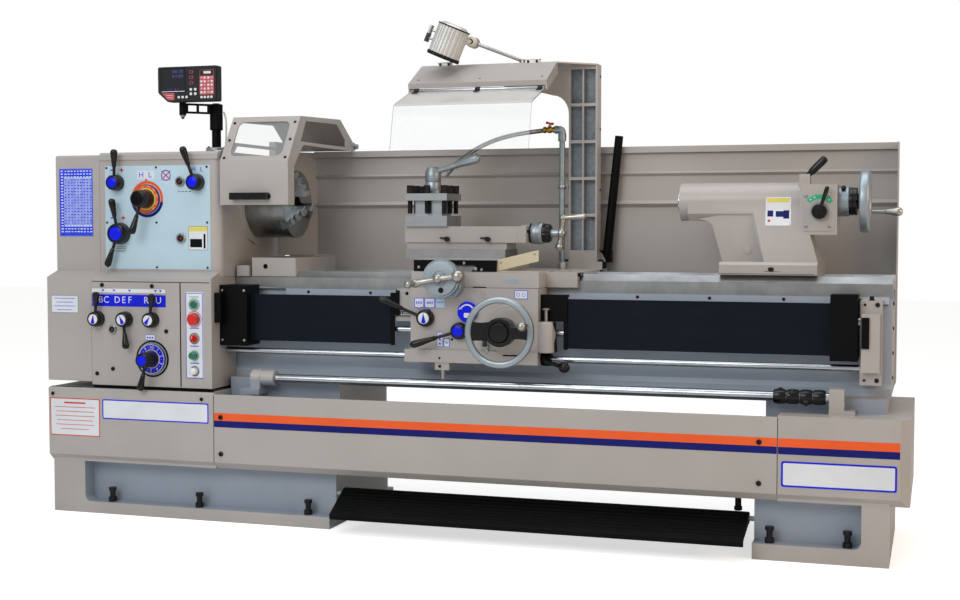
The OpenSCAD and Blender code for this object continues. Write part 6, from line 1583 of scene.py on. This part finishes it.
tailTrim = newPart()
housingFace = -80.0
addLabel(tailTrim, 2019, 2119, 1032, 1160, housingFace, "enamelOnCastIron", lift=2.2, radius=3)
plateY = housingFace - 2.2
for x in (2029, 2105):
    for z in (1048, 1147):
        addTurned(tailTrim, (x, plateY, z), toFront, [
            (-0.1, 6.4), (0.5, 6.4), (0.5, 5.4), (3.2, 5.2), (4.2, 4), (4.2, 2.4), (1.6, 2.2),
            (1.6, 0)], "turnedSteel", 24)
addPlate(tailTrim, arcBand(2072, 1096, 56, 41, 38, 138, 24), "y", plateY - 0.4, plateY + ink["sunk"], "arcGreen")
for a in (0.9, 1.25, 1.9, 2.2):
    addTurned(tailTrim, (2072 + 48.5 * math.cos(a), plateY - 0.4, 1096 + 48.5 * math.sin(a)), toFront, [
        (-0.05, 2.6), (0.3, 2.6), (0.3, 0)], "whitePrint", 16)
addDisc(tailTrim, 2073, 1096, 31, plateY, "greyEnamel", 0.5, 27)
# bare field in the colours of the plate that stands here, in two halves bent over the casting's edge
first, sideFace = len(tailTrim["points"]), -64.15
bend = {"z": 1101.0, "slope": 0.212}
for size, look, lift in ((0, "turnedAluminium", 0.6), (1.4, "whitePrint", 0.85)):
    outline = roundRect(1895 + size, 1981 - size, 1049 + size, 1146 - size, 4 - size)
    ends = np.array([(1895 + size, bend["z"]), (1981 - size, bend["z"])])
    for half in (np.vstack([outline[:10], ends]), np.vstack([outline[10:], ends[::-1]])):
        addPlate(tailTrim, half, "y", sideFace - lift, sideFace, look)
addLabel(tailTrim, 1901, 1975, 1127, 1141, -65.0, "yellowPrint", lift=0.25, radius=1.5)
for x0, x1, z0, z1 in ((1930, 1974, 1079, 1098), (1955, 1974, 1073, 1100.5), (1903, 1922, 1080, 1100)):
    addBlock(tailTrim, x0, x1, -65.4, -64.9, z0, z1, "navyPrint")
addBlock(tailTrim, 1904, 1913, -65.3, -64.9, 1062, 1070, "redPrint")
for x in (1901, 1975):
    for z in (1055, 1140):
        addTurned(tailTrim, (x, -65.0, z), toFront, [(-0.05, 1.8), (0.7, 1.5), (0.9, 0)], "turnedSteel", 12)
for cloud in tailTrim["points"][first:]:
    # below the bend the casting's side comes forward by the slope for each millimetre down
    cloud[:, 1] -= bend["slope"] * np.maximum(bend["z"] - cloud[:, 2], 0)
# plug in the web, screws of the base and the joint line between base and casting
addTurned(tailTrim, (1838, -58, 968), toFront, [
    (-0.2, 15), (0.5, 15), (0.5, 14), (1.6, 13.4), (2.2, 11), (2.4, 0)], "enamelOnCastIron", 40)
addRule(tailTrim, 1758, 2066, 893, 1.4, -169.2, "blackEnamel", 0.3)
addRule(tailTrim, 1905, 1955, 901, 1.2, -169.2, "blackEnamel", 0.3)
addTurned(tailTrim, (1930, -172, 908), toFront, [
    (-2, 6.6), (0.6, 6.6), (1, 5.8), (1, 3.2), (-0.4, 3), (-0.4, 0)], "blackenedSteel", 20)
for z in (1086, 1174):
    addTurned(tailTrim, (1607, 0, z), toLeft, [
        (-0.3, 5), (1.6, 4.8), (2.4, 3.6), (2.4, 1.8), (1.2, 1.6), (1.2, 0)], "blackenedSteel", 16)
finishPart(tailTrim, "TailstockFittings", "tailstock", bevel=0.3, segments=1)

dialScrew = newPart()
addTurned(dialScrew, (2145, -30, 1168), (0, -0.62, 0.78), [
    (-3, 5.2), (3, 5.2), (4, 8), (11, 8), (12, 6.8), (12, 3), (9, 2.8), (9, 0)], "blackenedSteel", 24)
finishPart(dialScrew, "TailDialScrew", "tailstock_wheel")
print("tailstock fittings placed")


# bed: rack teeth, end plate; roller boxes; rod ends; treadle

rack = {"start": 205, "root": 799.2, "pitch": 6.283, "depth": 4.2}
teeth = newPart()
count = int((bedEnd - 8 - rack["start"]) / rack["pitch"])
x = rack["start"] + rack["pitch"] * (np.arange(count)[:, None] + np.array([0, 0.18, 0.5, 0.68])[None, :]).reshape(-1)
z = np.tile([rack["root"], rack["root"] - rack["depth"], rack["root"] - rack["depth"], rack["root"]], count)
grid = np.stack([np.stack([x, np.full_like(x, y), z], -1) for y in (-176, -159)])
addGrid(teeth, grid, "turnedSteel")
for x in np.arange(290, bedEnd - 20, 240):
    addTurned(teeth, (x, -175.8, 812), toFront, [
        (-0.4, 5.6), (0.4, 5.4), (0.4, 3.2), (-1.2, 3), (-1.2, 0)], "blackenedSteel", 18)
finishPart(teeth, "BedRack", "machine", smooth=20)

bedTrim = newPart()
for z in (560, 640, 720, 800):
    addTurned(bedTrim, (bedEnd, -100, z), toRight, [
        (-0.4, 6), (2.4, 5.8), (3.6, 4.2), (3.6, 2.4), (2, 2.2), (2, 0)], "blackenedSteel", 18)
for x, z in ((84, 820), (226, 820), (84, 700), (226, 700)):
    addTurned(bedTrim, (x, -170.4, z), toFront, [
        (-0.4, 7), (1.6, 7), (2.4, 6), (2.4, 3.6), (0.6, 3.4), (0.6, 0)], "blackenedSteel", 20)
finishPart(bedTrim, "BedFittings", "machine")

# stop bar: a bright bar with four rounded dogs, each with one lobe a quarter turn on
dogs = newPart()
barY, barZ, firstDog = -290.0, 510.0, bedEnd - 356
addTurned(dogs, (128, barY, barZ), toRight, [
    (0, 15), (1, 16), (bedEnd - 266, 16), (bedEnd - 265, 15)], "groundShaft", 32)
for i in range(4):
    x, a = firstDog + i * 41, math.radians(90 * i - 40)
    addTurned(dogs, (x, barY, barZ), toRight, [
        (0, 18), (1, 21.5), (7, 23.6), (20, 24.6), (33, 23.6), (39, 21.5), (40, 18)], "phenolic", 40)
    middle, out = np.array([x + 20, barY, barZ]), np.array([0, -math.sin(a), math.cos(a)])
    addGrip(dogs, middle + 10 * out, middle + 31 * out, [14, 14, 13, 11], "phenolic")
finishPart(dogs, "StopBarDogs", "stop_bar", replaces=("stop_bar",))

# treadle: pressed ribs along its slope, and the black stop post over its right end
footLeft, footRight = inMachine(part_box("brake_treadle"))[:, 0]
ribs = newPart()
slope = np.array([104.0, 58.0]) / math.hypot(104, 58)
for along in np.linspace(10, 110, 7):
    root = np.array([-426.0, 74.0]) + slope * along
    strip = np.array([root - 4 * slope, root + 4 * slope, root + 2.6 * slope, root - 2.6 * slope])
    for k, rise in enumerate((5.0, 5.0, 8.6, 8.6)):
        strip[k] += rise * np.array([-slope[1], slope[0]])
    addPlate(ribs, strip, "x", footLeft + 14, footRight - 14, "blackEnamel")
finishPart(ribs, "TreadleRibs", "brake_treadle", bevel=0.4, segments=1)
stopPost = newPart()
addTurned(stopPost, (footRight - 34, -312, 196), (0, 0, -1), [
    (0, 16), (3, 16), (4, 10), (40, 10), (42, 13), (52, 13), (54, 11), (54, 0)], "blackEnamel", 28)
finishPart(stopPost, "TreadleStopPost", "machine")

# right-hand bracket of the rods: cover screws and its oil cup
bracketTrim = newPart()
for inset, z, size in ((42, 803, 14), (42, 566, 14), (80, 566, 8), (80, 803, 8)):
    addScrew(bracketTrim, (bedEnd - inset, -262, z), toFront, size, 4)
addTurned(bracketTrim, (bedEnd - 60, -250, 816), toTop, [
    (-0.2, 9), (2, 9), (3, 7), (12, 7), (14, 5), (14, 0)], "blackenedSteel", 20)
finishPart(bracketTrim, "RodBracketFittings", "machine")

# the two roller boxes: folded rims, cap screws and the slot lips that the cloths run through
boxTrim = newPart()
for x0, x1, face in ((1, 105, -300.2), (bedEnd - 182, bedEnd - 102, -285.2)):
    for z0, z1 in ((626, 632), (829, 835)):
        addBlock(boxTrim, x0, x1, face - 1.6, face + 0.4, z0, z1, "blackEnamel")
    for x in (x0 + 9, x1 - 9):
        for z in (642, 819):
            addTurned(boxTrim, (x, face, z), toFront, [
                (-0.2, 4.8), (2, 4.6), (3, 3.4), (3, 1.8), (1.6, 1.6), (1.6, 0)], "turnedSteel", 18)
for x in (104.5, bedEnd - 186.5):
    for y in (-266.5, -256.5):
        addBlock(boxTrim, x, x + 5, y, y + 2, 637, 810, "blackenedSteel")
finishPart(boxTrim, "RollerBoxFittings", "machine", bevel=0.4, segments=1)
print("bed fittings placed")
